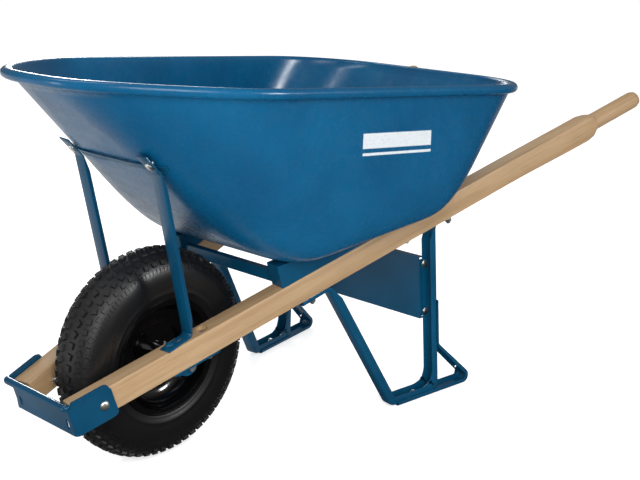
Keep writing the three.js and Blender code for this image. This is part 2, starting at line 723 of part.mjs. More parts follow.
function stabilizerGeometry() {
  const back = legRear + gap + stabilizerSheet;
  const width = legWidth + 2 * (stabilizerSheet + 2 * gap);
  const corners = [
    { x: stabilizerFront, z: 0, lip: stabilizerLip },
    { x: heelX, z: 0, lip: stabilizerLip, radius: heelBend },
    { x: back, z: stabilizerBendHeight, lip: stabilizerLip / 2, radius: 6 },
    { x: back, z: stabilizerTop, lip: stabilizerSheet + lipStub },
  ];
  const body = channel(bentPath(corners, 5), width, stabilizerSheet, onLeg);
  return cut(body, footHole());
}

// Cross plate: a pressed sheet with returned edges, its ends turned along the legs.
function crossPlateGeometry() {
  const inner = -legWidth / 2 - gap;
  const web = [[0, 0], [plateLip, 0], [plateLip, plateSheet], [plateSheet, plateSheet],
    [plateSheet, plateTop - plateBottom - plateSheet], [plateLip, plateTop - plateBottom - plateSheet],
    [plateLip, plateTop - plateBottom], [0, plateTop - plateBottom]];
  const across = (side) => web.map(([dx, dz]) => {
    const p = onLeg(plateX + dx, plateBottom + dz, inner - plateSheet / 2);
    return new THREE.Vector3(p.x, side * p.y, p.z);
  });
  const sheet = loft([across(-1), across(1)], web.map(([u, v]) => new THREE.Vector2(u, v)));
  const far = inner - plateSheet;
  const tabRing = (z) => [[0, inner], [plateTab, inner], [plateTab, far], [0, far]]
    .map(([dx, off]) => onLeg(plateX + dx, z, off));
  const tab = loft([tabRing(plateBottom + 6), tabRing(plateTop - 6)],
    [[0, 0], [1, 0], [1, -1], [0, -1]].map(([u, v]) => new THREE.Vector2(u, v)));
  const holes = plateBolts.map(plateHole);
  return cut(join(sheet, tab, mirroredY(tab)), ...holes, ...holes.map(mirroredY));
}

// Wheel, about its own axle ----------------------------------------------------------------------

// Half of a section round the tyre, from its crown to its widest place.
function tyreArc(radius, half, height) {
  return [0, 18, 36, 54, 72, 90].map((angle) => {
    const c = Math.cos(angle * degree) ** (2 / 2.6);
    const s = Math.sin(angle * degree) ** (2 / 2.6);
    return [radius - height + height * c, half * s];
  });
}

function tyreGeometry() {
  const seat = beadRadius + gap;
  const edge = rimWidth / 2 - rimSheet - gap;
  const top = beadRadius + rimFlange;
  const outer = tyreArc(wheelRadius, tyreWidth / 2, tyreShoulder);
  const thinner = tyreShoulder - treadThickness;
  const inner = tyreArc(wheelRadius - treadThickness, tyreWidth / 2 - sidewall, thinner);
  const outside = [...outer, [124, 48], [top + 4, edge + 1], [top, edge], [seat, edge], [seat, edge - 9]];
  const inside = [[top, edge - 6], [124, 43], ...inner.reverse()];
  const half = [...outside, ...inside];
  const mirror = half.map(([r, y]) => [r, -y]).reverse();
  const section = [...half, ...mirror.slice(1, -1)];
  return turned(section, wheelSides);
}

function tubeGeometry() {
  const middle = wheelRadius - treadThickness - tubeRadius - 1;
  const circle = (radius, sides) => Array.from({ length: sides }, (_, k) => {
    const angle = (2 * Math.PI * k) / sides;
    return [middle + radius * Math.cos(angle), radius * Math.sin(angle)];
  });
  const skin = cut(turned(circle(tubeRadius, 10), 20), turned(circle(tubeRadius - tubeWall, 10), 20));
  return cut(skin, valveRod(valveRadius + gap, valveTop() - 10, valveTop() + 12));
}

const valveTop = () => {
  const middle = wheelRadius - treadThickness - tubeRadius - 1;
  return middle - Math.sqrt(tubeRadius ** 2 - valveOffset ** 2) + 3;
};
const valveAngle = 200 * degree;

function valveRod(radius, from, to) {
  const at = (r) => new THREE.Vector3(r * Math.cos(valveAngle), valveOffset, r * Math.sin(valveAngle));
  return rod(radius, at(from), at(to), 10);
}

const valveEnd = () => valveTop() - valveLength;

// The section of one pressed half of the rim, on the +Y side.
function rimSection() {
  const s = rimSheet;
  const outer = rimWidth / 2;
  const tip = beadRadius + rimFlange;
  const bed = beadRadius;
  const disc = gap / 2;
  return [
    [tip, outer + 1.5], [tip, outer + 1.5 - s], [tip - 3, outer - s], [bed, outer - s], [bed, 18],
    [bed - 10, 8], [bed - 24, disc], [hubRadius + gap, disc], [hubRadius + gap, disc + s],
    [bed - 24, disc + s], [bed - 10 - s, 8 + s], [bed - s, 18 + s], [bed - s, outer], [tip - 3, outer],
  ];
}

// Only the right half of the rim has a hole for the valve.
function rimGeometry(side) {
  const half = turned(rimSection().map(([radius, y]) => [radius, side * y]), wheelSides);
  return side < 0 ? half : cut(half, valveRod(valveRadius + 1.2, beadRadius - 20, beadRadius + 6));
}

function hubGeometry() {
  const half = hubLength / 2;
  const bore = hubRadius - hubWall;
  const overFitting = (up) => new THREE.Vector3(0, fittingY, up);
  const fitting = rod(2.6, overFitting(bore - 3), overFitting(hubRadius + 3), 8);
  const tube = turned([[bore, -half], [hubRadius, -half], [hubRadius, half], [bore, half]], wheelSides);
  return cut(tube, fitting);
}

const ring = (inner, outer, from, to, sides = 24) =>
  turned([[inner, from], [outer, from], [outer, to], [inner, to]], sides);

function bearingGeometry() {
  const half = hubLength / 2;
  return ring(axleRadius + runningRoom, hubRadius - hubWall - gap, half - bearingWidth, half - 0.2);
}

const sealGeometry = () =>
  ring(axleRadius + 1, hubRadius, hubLength / 2 + gap, hubLength / 2 + gap + sealThickness);

const sleeveGeometry = () =>
  ring(axleRadius + 0.2, axleRadius + 3.2, hubLength / 2 + sealThickness + 3 * gap, webInnerY - gap, 16);

function axleGeometry() {
  const end = webOuterY + axleOverhang;
  const shaft = rod(axleRadius, new THREE.Vector3(0, -end, 0), new THREE.Vector3(0, end, 0), 20);
  return cut(shaft, cotterHole(1), cotterHole(-1));
}

const cotterY = () => webOuterY + axleOverhang - 5;

function cotterHole(side) {
  const across = (x) => new THREE.Vector3(x, side * cotterY(), 0);
  return rod(cotterRadius + gap, across(-14), across(14), 8);
}

// A split pin: a straight shank with a rounded eye at its front end.
function cotterGeometry() {
  const shank = rod(cotterRadius, new THREE.Vector3(-11, 0, 0), new THREE.Vector3(13, 0, 0), 8);
  const eye = new THREE.SphereGeometry(3.2, 8, 6).translate(-13, 0, 0);
  return join(shank, eye);
}

function greaseFittingGeometry() {
  const profile = [[0, -2.5], [2.3, -2.5], [2.3, 3.2], [3.8, 3.2], [3.8, 5.5], [2, 7.5], [2.6, 9.5],
    [1.2, 11], [0, 11]];
  return new THREE.LatheGeometry(profile.map(([r, y]) => new THREE.Vector2(r, y)), 8).rotateX(Math.PI / 2);
}

// The assembled scene graph ---------------------------------------------------------------------

function piece(name, geometry, finish) {
  const mesh = new THREE.Mesh(geometry, new THREE.MeshStandardMaterial(finish));
  mesh.name = name;
  return mesh;
}

function placed(mesh, x, y, z) {
  mesh.position.set(x, y, z);
  return mesh;
}

// A bolt or nut set on the handle: its axis upright there, or pointing outwards.
function uprightFastener(name, geometry, along, up, out = handleMiddle) {
  return placed(piece(name, geometry, zinc), along, out, up);
}

function sidePieces(side) {
  const group = new THREE.Group();
  const handle = new THREE.Group();
  handle.position.copy(handleDatum);
  handle.rotation.copy(handleTurn);
  group.add(handle);

  handle.add(piece(`handle_${side}`, handleGeometry(), ash));
  handle.add(piece(`riser_${side}`, riserGeometry(), darkBlueEnamel));
  handle.add(piece(`axle_bracket_${side}`, bracketGeometry(), darkBlueEnamel));

  const legUnder = -legSeat - legFall - 3 * gap;
  for (const [place, along, under] of [["front", frontTrayBolt, legUnder], ["rear", rearTrayBolt, -gap]]) {
    const head = floorOverHandle(along, handleMiddle, traySheet) + floorLean;
    const length = head - under + nutHeight + pastNut;
    handle.add(uprightFastener(`tray_bolt_${place}_${side}`, bolt(length), along, head));
    handle.add(uprightFastener(`tray_nut_${place}_${side}`, nut(), along, under - nutHeight));
  }
  const bracketUnder = -bracketSheet - 2 * gap;
  for (const [name, along, head, under, out, radius] of [
    ["leg_bolt_rear", legRearBolt.along, handleHeight + gap, legUnder, legRearBolt.out, smallHead],
    ["brace_foot_bolt", bracketBolts[0], handleHeight + 3 * gap + braceSheet + lipStub, bracketUnder],
    ["axle_bracket_bolt", bracketBolts[1], handleHeight - counterbore.depth + gap, bracketUnder],
  ]) {
    const length = head - under + nutHeight + pastNut;
    handle.add(uprightFastener(`${name}_${side}`, bolt(length, under - head, radius), along, head, out));
  }
  const outward = new THREE.Euler(-Math.PI / 2, 0, 0);
  const guardLength = handleWidth + guardSheet + nutHeight + pastNut;
  for (const [name, geometry, out] of [
    ["guard_bolt", bolt(guardLength), guardSheet + 2 * gap],
    ["guard_nut", nut(), -handleWidth - gap - nutHeight],
  ]) {
    const mesh = placed(piece(`${name}_${side}`, geometry, zinc), guardBolt.along, out, guardBolt.up);
    mesh.rotation.copy(outward);
    handle.add(mesh);
  }

  group.add(piece(`tray_brace_${side}`, braceGeometry(), darkBlueEnamel));
  group.add(piece(`leg_${side}`, legGeometry(), blueEnamel));
  group.add(piece(`leg_stabilizer_${side}`, stabilizerGeometry(), darkBlueEnamel));
  group.add(...legFasteners(side));
  group.add(braceHeadBolt(side));
  return group;
}

function aimed(mesh, spot, direction) {
  mesh.position.copy(spot);
  mesh.quaternion.setFromUnitVectors(new THREE.Vector3(0, 0, 1), direction);
  return mesh;
}

function legFasteners(side) {
  const footTop = stabilizerSheet + gap + legSheet;
  const foot = piece(`leg_foot_bolt_${side}`, new THREE.LatheGeometry([
    [0, -nutHeight - footTop + 0.6], [boltRadius, -nutHeight - footTop + 0.6], [boltRadius, -nutHeight],
    [nutRadius, -nutHeight], [nutRadius, 0], [boltRadius, 0], [boltRadius, 4], [0, 4],
  ].map(([r, y]) => new THREE.Vector2(r, y)), 6).rotateX(Math.PI / 2), zinc);
  foot.position.copy(footSpot(footTop + gap + nutHeight));
  const grip = legSheet + plateSheet + gap + 2 * leanRoom;
  const plate = plateBolts.map((z, i) => {
    const from = onLeg(plateX + plateBoltIn, z, -legWidth / 2 + legSheet + leanRoom);
    const mesh = piece(`cross_plate_bolt_${i ? "upper" : "lower"}_${side}`,
      bolt(grip + nutHeight + pastNut, -grip), zinc);
    return aimed(mesh, from, legNormal);
  });
  return [foot, ...plate];
}

function braceHeadBolt(side) {
  const along = new THREE.Vector3(-wallOut.x, 0, -wallOut.y);
  const spot = new THREE.Vector3(braceBoltSpot.x, braceY, braceBoltSpot.y).addScaledVector(along, -gap);
  const thick = headStand + traySheet + wallFall + 3;
  const mesh = piece(`brace_head_bolt_${side}`, bolt(thick + nutHeight + pastNut, -thick), zinc);
  return aimed(mesh, spot, along.negate());
}

function wheelPieces() {
  const group = new THREE.Group();
  group.position.z = wheelRadius;
  group.add(piece("tyre", tyreGeometry(), rubber));
  group.add(piece("inner_tube", tubeGeometry(), rubber));
  group.add(piece("rim_right", rimGeometry(1), blackEnamel));
  group.add(piece("rim_left", rimGeometry(-1), blackEnamel));
  group.add(piece("hub", hubGeometry(), blackEnamel));
  group.add(placed(piece("grease_fitting", greaseFittingGeometry(), zinc), 0, fittingY, hubRadius - 1));
  group.add(piece("valve_stem", valveRod(valveRadius, valveEnd(), valveTop()), rubber));
  group.add(piece("valve_cap", valveRod(valveRadius + 0.8, valveEnd() - 9, valveEnd() - gap), nylon));
  for (const [side, sign] of [["left", -1], ["right", 1]]) {
    const half = new THREE.Group();
    half.scale.y = sign;
    half.add(piece(`bearing_${side}`, bearingGeometry(), nylon));
    half.add(piece(`bearing_seal_${side}`, sealGeometry(), nylon));
    half.add(piece(`axle_sleeve_${side}`, sleeveGeometry(), zinc));
    half.add(placed(piece(`cotter_pin_${side}`, cotterGeometry(), zinc), 0, cotterY(), 0));
    group.add(half);
  }
  group.add(piece("axle", axleGeometry(), zinc));
  return group;
}

const barrow = new THREE.Group();
for (const [side, sign] of [["right", 1], ["left", -1]]) {
  const pieces = sidePieces(side);
  pieces.scale.y = sign;
  barrow.add(pieces);
}
barrow.add(piece("tray", trayGeometry(), blueEnamel));
barrow.add(piece("brace_strap", strapGeometry(), darkBlueEnamel));
barrow.add(piece("riser_tie", riserTieGeometry(), darkBlueEnamel));
barrow.add(piece("nose_guard", guardGeometry(), darkBlueEnamel));
barrow.add(piece("cross_plate", crossPlateGeometry(), darkBlueEnamel));
barrow.add(wheelPieces());

// The origin lies on the ground under the middle of the whole barrow.
const extent = new THREE.Box3().setFromObject(barrow, true);
barrow.position.x = -(extent.min.x + extent.max.x) / 2;

const wheelbarrow = new THREE.Group();
wheelbarrow.add(barrow);

export default wheelbarrow;
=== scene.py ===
# Builder's wheelbarrow: blue enamelled tray on ash handles, one pneumatic wheel.
import math

import bmesh
import bpy
import numpy as np
from mathutils import Matrix, Vector


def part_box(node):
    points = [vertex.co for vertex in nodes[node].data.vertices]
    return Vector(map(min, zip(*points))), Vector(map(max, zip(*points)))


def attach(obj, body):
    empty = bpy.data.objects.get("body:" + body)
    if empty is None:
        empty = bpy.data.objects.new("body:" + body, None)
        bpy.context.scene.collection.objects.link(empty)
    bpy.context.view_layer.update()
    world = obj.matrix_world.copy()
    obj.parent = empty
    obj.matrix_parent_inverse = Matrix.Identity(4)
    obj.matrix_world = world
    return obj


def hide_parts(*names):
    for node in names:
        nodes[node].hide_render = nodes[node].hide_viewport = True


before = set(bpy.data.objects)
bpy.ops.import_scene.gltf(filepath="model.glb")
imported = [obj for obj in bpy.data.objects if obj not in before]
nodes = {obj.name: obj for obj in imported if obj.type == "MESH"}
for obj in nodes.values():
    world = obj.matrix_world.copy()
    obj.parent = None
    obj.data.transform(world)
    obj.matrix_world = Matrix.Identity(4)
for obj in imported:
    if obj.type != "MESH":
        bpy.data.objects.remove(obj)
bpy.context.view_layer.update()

mm = 0.001
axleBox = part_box("axle")
axleX = (axleBox[0][0] + axleBox[1][0]) / 2  # everything is set out from the wheel's axle
axleZ = (axleBox[0][2] + axleBox[1][2]) / 2
scene = bpy.context.scene
print("frame loaded:", len(nodes), "nodes")


def fromAxle(x, y, z):  # millimetres from the axle's middle, height above the ground
    return Vector((axleX + x * mm, y * mm, z * mm))


# Small tools

def linearColour(hexText):  # sRGB hex to the linear values that a shader wants
    channels = [int(hexText.lstrip("#")[i:i + 2], 16) / 255 for i in (0, 2, 4)]
    return tuple(c / 12.92 if c <= 0.04045 else ((c + 0.055) / 1.055) ** 2.4 for c in channels) + (1.0,)


def perMm(size):  # texture scale that makes one cell this many millimetres across
    return 1000.0 / size


def nodesIn(tree):
    def add(kind, inputs=None, **settings):  # a node among the inputs stands for its first output
        node = tree.nodes.new(kind)
        for key, value in settings.items():
            setattr(node, key, value)
        for key, value in (inputs or {}).items():
            value = value.outputs[0] if isinstance(value, bpy.types.Node) else value
            if isinstance(value, bpy.types.NodeSocket):
                tree.links.new(value, node.inputs[key])
            else:
                node.inputs[key].default_value = value
        return node
    return add


def setStops(ramp, stops):
    elements = ramp.color_ramp.elements
    while len(elements) > 1:
        elements.remove(elements[-1])
    elements[0].position, elements[0].color = stops[0][0], linearColour(stops[0][1])
    for position, colour in stops[1:]:
        elements.new(position).color = linearColour(colour)


def newMaterial(name):
    material = bpy.data.materials.new(name)
    material.use_nodes = True
    material.node_tree.nodes.clear()
    add = nodesIn(material.node_tree)
    return material, add, add("ShaderNodeTexCoord").outputs["Object"]


def finishShader(add, shader):
    add("ShaderNodeOutputMaterial", {"Surface": shader})


def makeMesh(name, vertices, faces):
    mesh = bpy.data.meshes.new(name)
    mesh.from_pydata([tuple(v) for v in vertices], [], [tuple(f) for f in faces])
    mesh.validate()
    return mesh


def facingOut(mesh, smoothAngle=None):
    work = bmesh.new()
    work.from_mesh(mesh)
    bmesh.ops.remove_doubles(work, verts=work.verts, dist=1e-6)
    bmesh.ops.recalc_face_normals(work, faces=work.faces)
    work.to_mesh(mesh)
    work.free()
    mesh.polygons.foreach_set("use_smooth", [smoothAngle is not None] * len(mesh.polygons))
    if smoothAngle is not None:
        mesh.set_sharp_from_angle(angle=math.radians(smoothAngle))
    mesh.update()
    return mesh


def showMesh(name, mesh, material):
    shown = bpy.data.objects.new(name, mesh)
    scene.collection.objects.link(shown)
    mesh.materials.clear()
    mesh.materials.append(material)
    return shown


def standFor(shown, body, slotName, *nodeNames):
    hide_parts(*nodeNames)
    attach(shown, body)
    return shown


def roundEdges(shown, width, segments=2, angle=32):
    bevel = shown.modifiers.new("roundedEdges", "BEVEL")
    bevel.width = width * mm
    bevel.segments = segments
    bevel.limit_method = "ANGLE"
    bevel.angle_limit = math.radians(angle)
    bevel.harden_normals = True
    bevel.use_clamp_overlap = True


def refineNode(nodeName, body, slotName, material, edge=0.5, segments=2, angle=32, cutters=()):
    # a merged copy of a CAD node with its flat faces joined and its edges eased
    work = bmesh.new()
    work.from_mesh(nodes[nodeName].data)
    bmesh.ops.remove_doubles(work, verts=work.verts, dist=2e-6)
    bmesh.ops.dissolve_limit(work, angle_limit=math.radians(1.0), verts=work.verts, edges=work.edges)
    points = [v.co.copy() for v in work.verts]
    work.verts.index_update()
    faces = [[v.index for v in f.verts] for f in work.faces]
    work.free()
    mesh = makeMesh(nodeName + "_shape", points, faces)
    mesh.polygons.foreach_set("use_smooth", [True] * len(mesh.polygons))
    mesh.set_sharp_from_angle(angle=math.radians(angle))
    shown = showMesh(nodeName + "_look", mesh, material)
    roundEdges(shown, edge, segments, angle)
    if cutters:
        cutAway(shown, *cutters)
    return standFor(shown, body, slotName, nodeName)


def ringFaces(rings, closed=False):  # four-sided faces between one ring of points and the next
    rows, count = len(rings), len(rings[0])
    faces = []
    for r in range(rows if closed else rows - 1):
        n = (r + 1) % rows
        for i in range(count):
            j = (i + 1) % count
            faces.append((r * count + i, r * count + j, n * count + j, n * count + i))
    return faces


def loftMesh(name, rings):
    count = len(rings[0])
    ends = [tuple(range(count))[::-1], tuple(range((len(rings) - 1) * count, len(rings) * count))]
    return makeMesh(name, [p for ring in rings for p in ring], ringFaces(rings) + ends)


def turnMesh(name, profile, segments, centre):
    # a closed profile of (radius, across) turned about the wheel's axle
    rings = []
    for k in range(segments):
        angle = 2 * math.pi * k / segments
        c, s = math.cos(angle), math.sin(angle)
        rings.append([centre + Vector((r * c, y, r * s)) * mm for r, y in profile])
    return makeMesh(name, [p for ring in rings for p in ring], ringFaces(rings, True))


def plainMesh(shown):
    evaluated = shown.evaluated_get(bpy.context.evaluated_depsgraph_get())
    mesh = bpy.data.meshes.new_from_object(evaluated)
    shown.modifiers.clear()
    return mesh


def cutAway(shown, *cutters, angle=38):
    for cutter in cutters:
        hole = shown.modifiers.new("hole", "BOOLEAN")
        hole.object = cutter
        hole.solver = "EXACT"
    mesh = plainMesh(shown)
    shown.data = mesh
    for cutter in cutters:
        bpy.data.objects.remove(cutter)
    mesh.polygons.foreach_set("use_smooth", [True] * len(mesh.polygons))
    mesh.set_sharp_from_angle(angle=math.radians(angle))


def smoothStep(t):
    t = min(max(t, 0.0), 1.0)
    return t * t * (3 - 2 * t)


# Materials

def mottle(add, place, size, detail, stops, **more):
    # a cloudy pattern this many millimetres across, and the colour that it picks
    cloud = add("ShaderNodeTexNoise", {
        "Vector": place, "Scale": perMm(size), "Detail": detail, **more})
    tone = add("ShaderNodeValToRGB", {"Fac": cloud.outputs["Fac"]})
    setStops(tone, stops)
    return cloud.outputs["Fac"], tone.outputs["Color"]


def grained(add, place, size, detail, strength, depth):
    # the bump of a fine grain, its size in millimetres
    grain = add("ShaderNodeTexNoise", {"Vector": place, "Scale": perMm(size), "Detail": detail})
    bump = add("ShaderNodeBump", {
        "Height": grain.outputs["Fac"], "Strength": strength, "Distance": depth * mm})
    return bump


def finished(material, add, values):
    finishShader(add, add("ShaderNodeBsdfPrincipled", values))
    return material


def between(add, value, low, high, soft):  # 1 inside the two limits, fading out past them
    rising = add("ShaderNodeMapRange", {"Value": value, "From Min": low, "From Max": low + soft})
    falling = add("ShaderNodeMapRange", {
        "Value": value, "From Min": high, "From Max": high + soft, "To Min": 1.0, "To Max": 0.0})
    both = add("ShaderNodeMath", {0: rising, 1: falling}, operation="MULTIPLY")
    return both


def labelOver(add, place, colour, label):
    # Plain white printed bars on the outside of the tray's side walls, level with its rim.
    at = add("ShaderNodeSeparateXYZ", {0: place}).outputs
    slope = add("ShaderNodeMath", {0: at[0], 1: label["slope"]}, operation="MULTIPLY")
    height = add("ShaderNodeMath", {0: at[2], 1: slope}, operation="ADD")
    normal = add("ShaderNodeNewGeometry").outputs["Normal"]
    facing = add("ShaderNodeSeparateXYZ", {0: normal}).outputs[1]
    outward = add("ShaderNodeMath", {0: facing, 1: at[1]}, operation="MULTIPLY")
    outside = add("ShaderNodeMath", {
        0: outward, 1: label["outside"]}, operation="GREATER_THAN")
    ink = None
    for x0, x1, z0, z1 in label["bars"]:
        inX = between(add, at[0], x0, x1, label["soft"])
        inZ = between(add, height, z0, z1, label["soft"])
        bar = add("ShaderNodeMath", {0: inX, 1: inZ}, operation="MULTIPLY")
        if ink is not None:
            bar = add("ShaderNodeMath", {0: ink, 1: bar}, operation="MAXIMUM")
        ink = bar
    worn = add("ShaderNodeTexNoise", {"Vector": place, "Scale": perMm(4), "Detail": 4.0})
    cover = add("ShaderNodeMapRange", {
        "Value": worn, "From Min": 0.3, "From Max": 0.42, "To Min": 0.75})
    printed = add("ShaderNodeMath", {0: ink, 1: outside}, operation="MULTIPLY")
    share = add("ShaderNodeMath", {0: printed, 1: cover}, operation="MULTIPLY")
    return add("ShaderNodeMix", {
        0: share, 6: colour, 7: linearColour(label["colour"])}, data_type="RGBA").outputs[2]


def enamelMaterial(name, colour, deep, roughness, peel, coat=0.0, label=None):
    # Baked enamel over pressed steel: a wet gloss that ripples a little, like fine orange peel.
    material, add, place = newMaterial(name)
    _, tone = mottle(add, place, 170, 3.0, [(0.3, deep), (0.7, colour)])
    smear = add("ShaderNodeTexNoise", {
        "Vector": place, "Scale": perMm(22), "Detail": 5.0, "Roughness": 0.6})
    dull = add("ShaderNodeMapRange", {
        "Value": smear.outputs["Fac"], "From Min": 0.3, "From Max": 0.75,
        "To Min": roughness - 0.05, "To Max": roughness + 0.09})
    return finished(material, add, {
        "Base Color": labelOver(add, place, tone, label) if label else tone, "Roughness": dull,
        "Normal": grained(add, place, peel, 1.0, 0.09, 0.4), "IOR": 1.5, "Specular IOR Level": 0.34,
        "Coat Weight": coat, "Coat Roughness": 0.08, "Coat IOR": 1.5})


def ashMaterial(name, splay, slope):
    # Clear-coated ash: long pale grain with darker pores that run with the bar.
    material, add, place = newMaterial(name)
    turned = add("ShaderNodeMapping", {"Vector": place, "Rotation": (0, 0, -splay)})
    along = add("ShaderNodeMapping", {"Vector": turned, "Rotation": (0, slope, 0)})
    board = add("ShaderNodeMapping", {"Vector": along, "Scale": (0.035, 1.0, 1.0)})
    _, tone = mottle(add, board, 11, 4.0, [
        (0.28, "#b08f68"), (0.45, "#c09d74"), (0.6, "#c8a780"), (0.78, "#b5936a")],
        Roughness=0.55, Distortion=0.6)
    fine = add("ShaderNodeMapping", {"Vector": along, "Scale": (0.03, 1.0, 1.0)})
    pores = add("ShaderNodeTexNoise", {
        "Vector": fine, "Scale": perMm(1.6), "Detail": 3.0, "Roughness": 0.7}).outputs["Fac"]
    pore = add("ShaderNodeMapRange", {
        "Value": pores, "From Min": 0.56, "From Max": 0.72, "To Min": 0.0, "To Max": 0.55})
    dark = add("ShaderNodeMix", {
        0: pore, 6: tone, 7: linearColour("#8a6c45")}, data_type="RGBA")
    stain = add("ShaderNodeTexNoise", {"Vector": along, "Scale": perMm(140), "Detail": 2.0})
    warm = add("ShaderNodeMapRange", {
        "Value": stain.outputs["Fac"], "From Min": 0.35, "From Max": 0.7, "To Min": 0.0, "To Max": 0.35})
    colour = add("ShaderNodeMix", {
        0: warm, 6: dark.outputs[2], 7: linearColour("#a8865a")}, data_type="RGBA")
    bump = add("ShaderNodeBump", {"Height": pores, "Strength": 0.25, "Distance": 0.3 * mm})
    return finished(material, add, {
        "Base Color": colour.outputs[2], "Roughness": 0.5, "Normal": bump, "IOR": 1.5,
        "Coat Weight": 0.2, "Coat Roughness": 0.35})


def rubberMaterial(name, colour, roughness):
    # Moulded rubber: soft black, glossy on the sidewall and duller out on the tread.
    material, add, place = newMaterial(name)
    _, tone = mottle(add, place, 35, 6.0, [
        (0.35, colour), (0.65, "#131315"), (0.85, "#1c1c1e")], Roughness=0.65)
    centred = add("ShaderNodeVectorMath", {0: place, 1: (axleX, 0, axleZ)}, operation="SUBTRACT")
    level = add("ShaderNodeVectorMath", {0: centred, 1: (1, 0, 1)}, operation="MULTIPLY")
    outward = add("ShaderNodeVectorMath", {0: level}, operation="LENGTH")
    dull = add("ShaderNodeMapRange", {
        "Value": outward.outputs["Value"], "From Min": 0.172, "From Max": 0.19,
        "To Min": roughness, "To Max": roughness + 0.2})
    return finished(material, add, {
        "Base Color": tone, "Roughness": dull, "IOR": 1.52,
        "Normal": grained(add, place, 1.4, 3.0, 0.3, 0.4)})


def zincMaterial(name):
    # Bright zinc plate: cool grey metal with a faint straw cast and fine handling marks.
    material, add, place = newMaterial(name)
    cloud, tone = mottle(add, place, 9, 4.0, [(0.35, "#dcdfe2"), (0.6, "#e6e5dd"), (0.75, "#ccd1d7")])
    dull = add("ShaderNodeMapRange", {
        "Value": cloud, "From Min": 0.3, "From Max": 0.7, "To Min": 0.3, "To Max": 0.48})
    return finished(material, add, {
        "Base Color": tone, "Metallic": 1.0, "Roughness": dull,
        "Normal": grained(add, place, 0.8, 2.0, 0.15, 0.2)})


def nylonMaterial(name):
    # Moulded black nylon: an even satin with a faint grain.
    material, add, place = newMaterial(name)
    _, tone = mottle(add, place, 0.9, 2.0, [(0.3, "#202022"), (0.7, "#2d2d30")])
    return finished(material, add, {
        "Base Color": tone, "Roughness": 0.48, "IOR": 1.53,
        "Normal": grained(add, place, 0.9, 2.0, 0.2, 0.2)})


handleSlope = math.radians(15.3)
handleSplay = math.radians(10.14)
labelX, labelZ = axleX + 0.358, 0.0985 * axleX  # the wall's slope is taken out of the height
trayLabel = {
    "slope": 0.0985, "outside": 0.15, "soft": 0.001, "colour": "#e4ebef",
    "bars": [(labelX - 0.09, labelX + 0.09, 0.615 + labelZ, 0.643 + labelZ),
             (labelX - 0.09, labelX + 0.09, 0.602 + labelZ, 0.607 + labelZ)],
}
trayEnamel = enamelMaterial("brightBlueEnamel", "#08628f", "#06527c", 0.26, 2.2, 0.0, trayLabel)
frameEnamel = enamelMaterial("deepBlueEnamel", "#0d5579", "#084463", 0.2, 1.6)
rimEnamel = enamelMaterial("blackRimEnamel", "#08080a", "#040405", 0.16, 1.8, 0.6)
ashRight = ashMaterial("coatedAshRight", handleSplay, handleSlope)
ashLeft = ashMaterial("coatedAshLeft", -handleSplay, handleSlope)
tyreRubber = rubberMaterial("mouldedTyreRubber", "#101012", 0.36)
tubeRubber = rubberMaterial("smoothTubeRubber", "#0e0e10", 0.4)
zincPlate = zincMaterial("brightZincPlate")
blackNylon = nylonMaterial("blackNylon")
print("materials ready")


# Tray: one pressed shell with a rolled edge

tray = {
    "sheet": 1.2,
    "rimX": (-153, 817), "rimHalf": (269, 331), "rimCorner": (250, 180),
    "rimBow": 70, "rimBowReach": 150, "rimRear": 638, "rimTilt": -0.0985, "bead": 9.5,
    "floorX": (150, 600), "floorHalf": (250, 330), "floorCorner": (145, 130),
    "flatX": (208, 545), "flatHalf": (188, 268), "flatCorner": (45, 50),
    "floorFront": 359, "floorTilt": 0.162, "wallFillet": 0.42,
    "straight": 8, "corner": 18, "levels": 14, "rise": 12, "rollSteps": 16,
}


def bentPath(corners, steps):
    # corners are (x, z, radius, lip); returns points with the direction of travel and the lip there
    flat = [np.array(c[:2], float) for c in corners]
    path = []
    for i, corner in enumerate(corners):
        before = after = None
        if i > 0:
            before = (flat[i] - flat[i - 1]) / np.linalg.norm(flat[i] - flat[i - 1])
        if i + 1 < len(flat):
            after = (flat[i + 1] - flat[i]) / np.linalg.norm(flat[i + 1] - flat[i])
        if before is None or after is None or not corner[2]:
            path.append((flat[i], after if after is not None else before, corner[3]))
            continue
        turn = math.atan2(before[0] * after[1] - before[1] * after[0], float(before @ after))
        radius = corner[2]
        start = flat[i] - before * radius * math.tan(abs(turn) / 2)
        centre = start + np.array([-before[1], before[0]]) * math.copysign(radius, turn)
        for k in range(steps + 1):
            angle = turn * k / steps
            c, s = math.cos(angle), math.sin(angle)
            spin = np.array([[c, -s], [s, c]])
            path.append((centre + spin @ (start - centre), spin @ before, corner[3]))
    return path


def trayOutline(x, half, corner, inset):
    corners = [(x[0] + inset, 0, 0, 0), (x[0] + inset, half[0] - inset, corner[0] - inset, 0),
               (x[1] - inset, half[1] - inset, corner[1] - inset, 0), (x[1] - inset, 0, 0, 0)]
    arcs = [p[0] for p in bentPath(corners, tray["corner"])]
    steps = tray["corner"]
    points = []
    for i, point in enumerate(arcs):
        points.append(point)
        if i in (0, steps + 1, 2 * steps + 2):
            for k in range(1, tray["straight"]):
                points.append(point + (arcs[i + 1] - point) * k / tray["straight"])
    otherSide = [np.array([p[0], -p[1]]) for p in points[1:-1][::-1]]
    return np.array(points + otherSide)


def floorRing(x, half, corner, inset, lift):
    flat = trayOutline(x, half, corner, inset)
    height = tray["floorFront"] + lift + tray["floorTilt"] * (flat[:, 0] - tray["floorX"][0])
    return np.column_stack([flat, height])


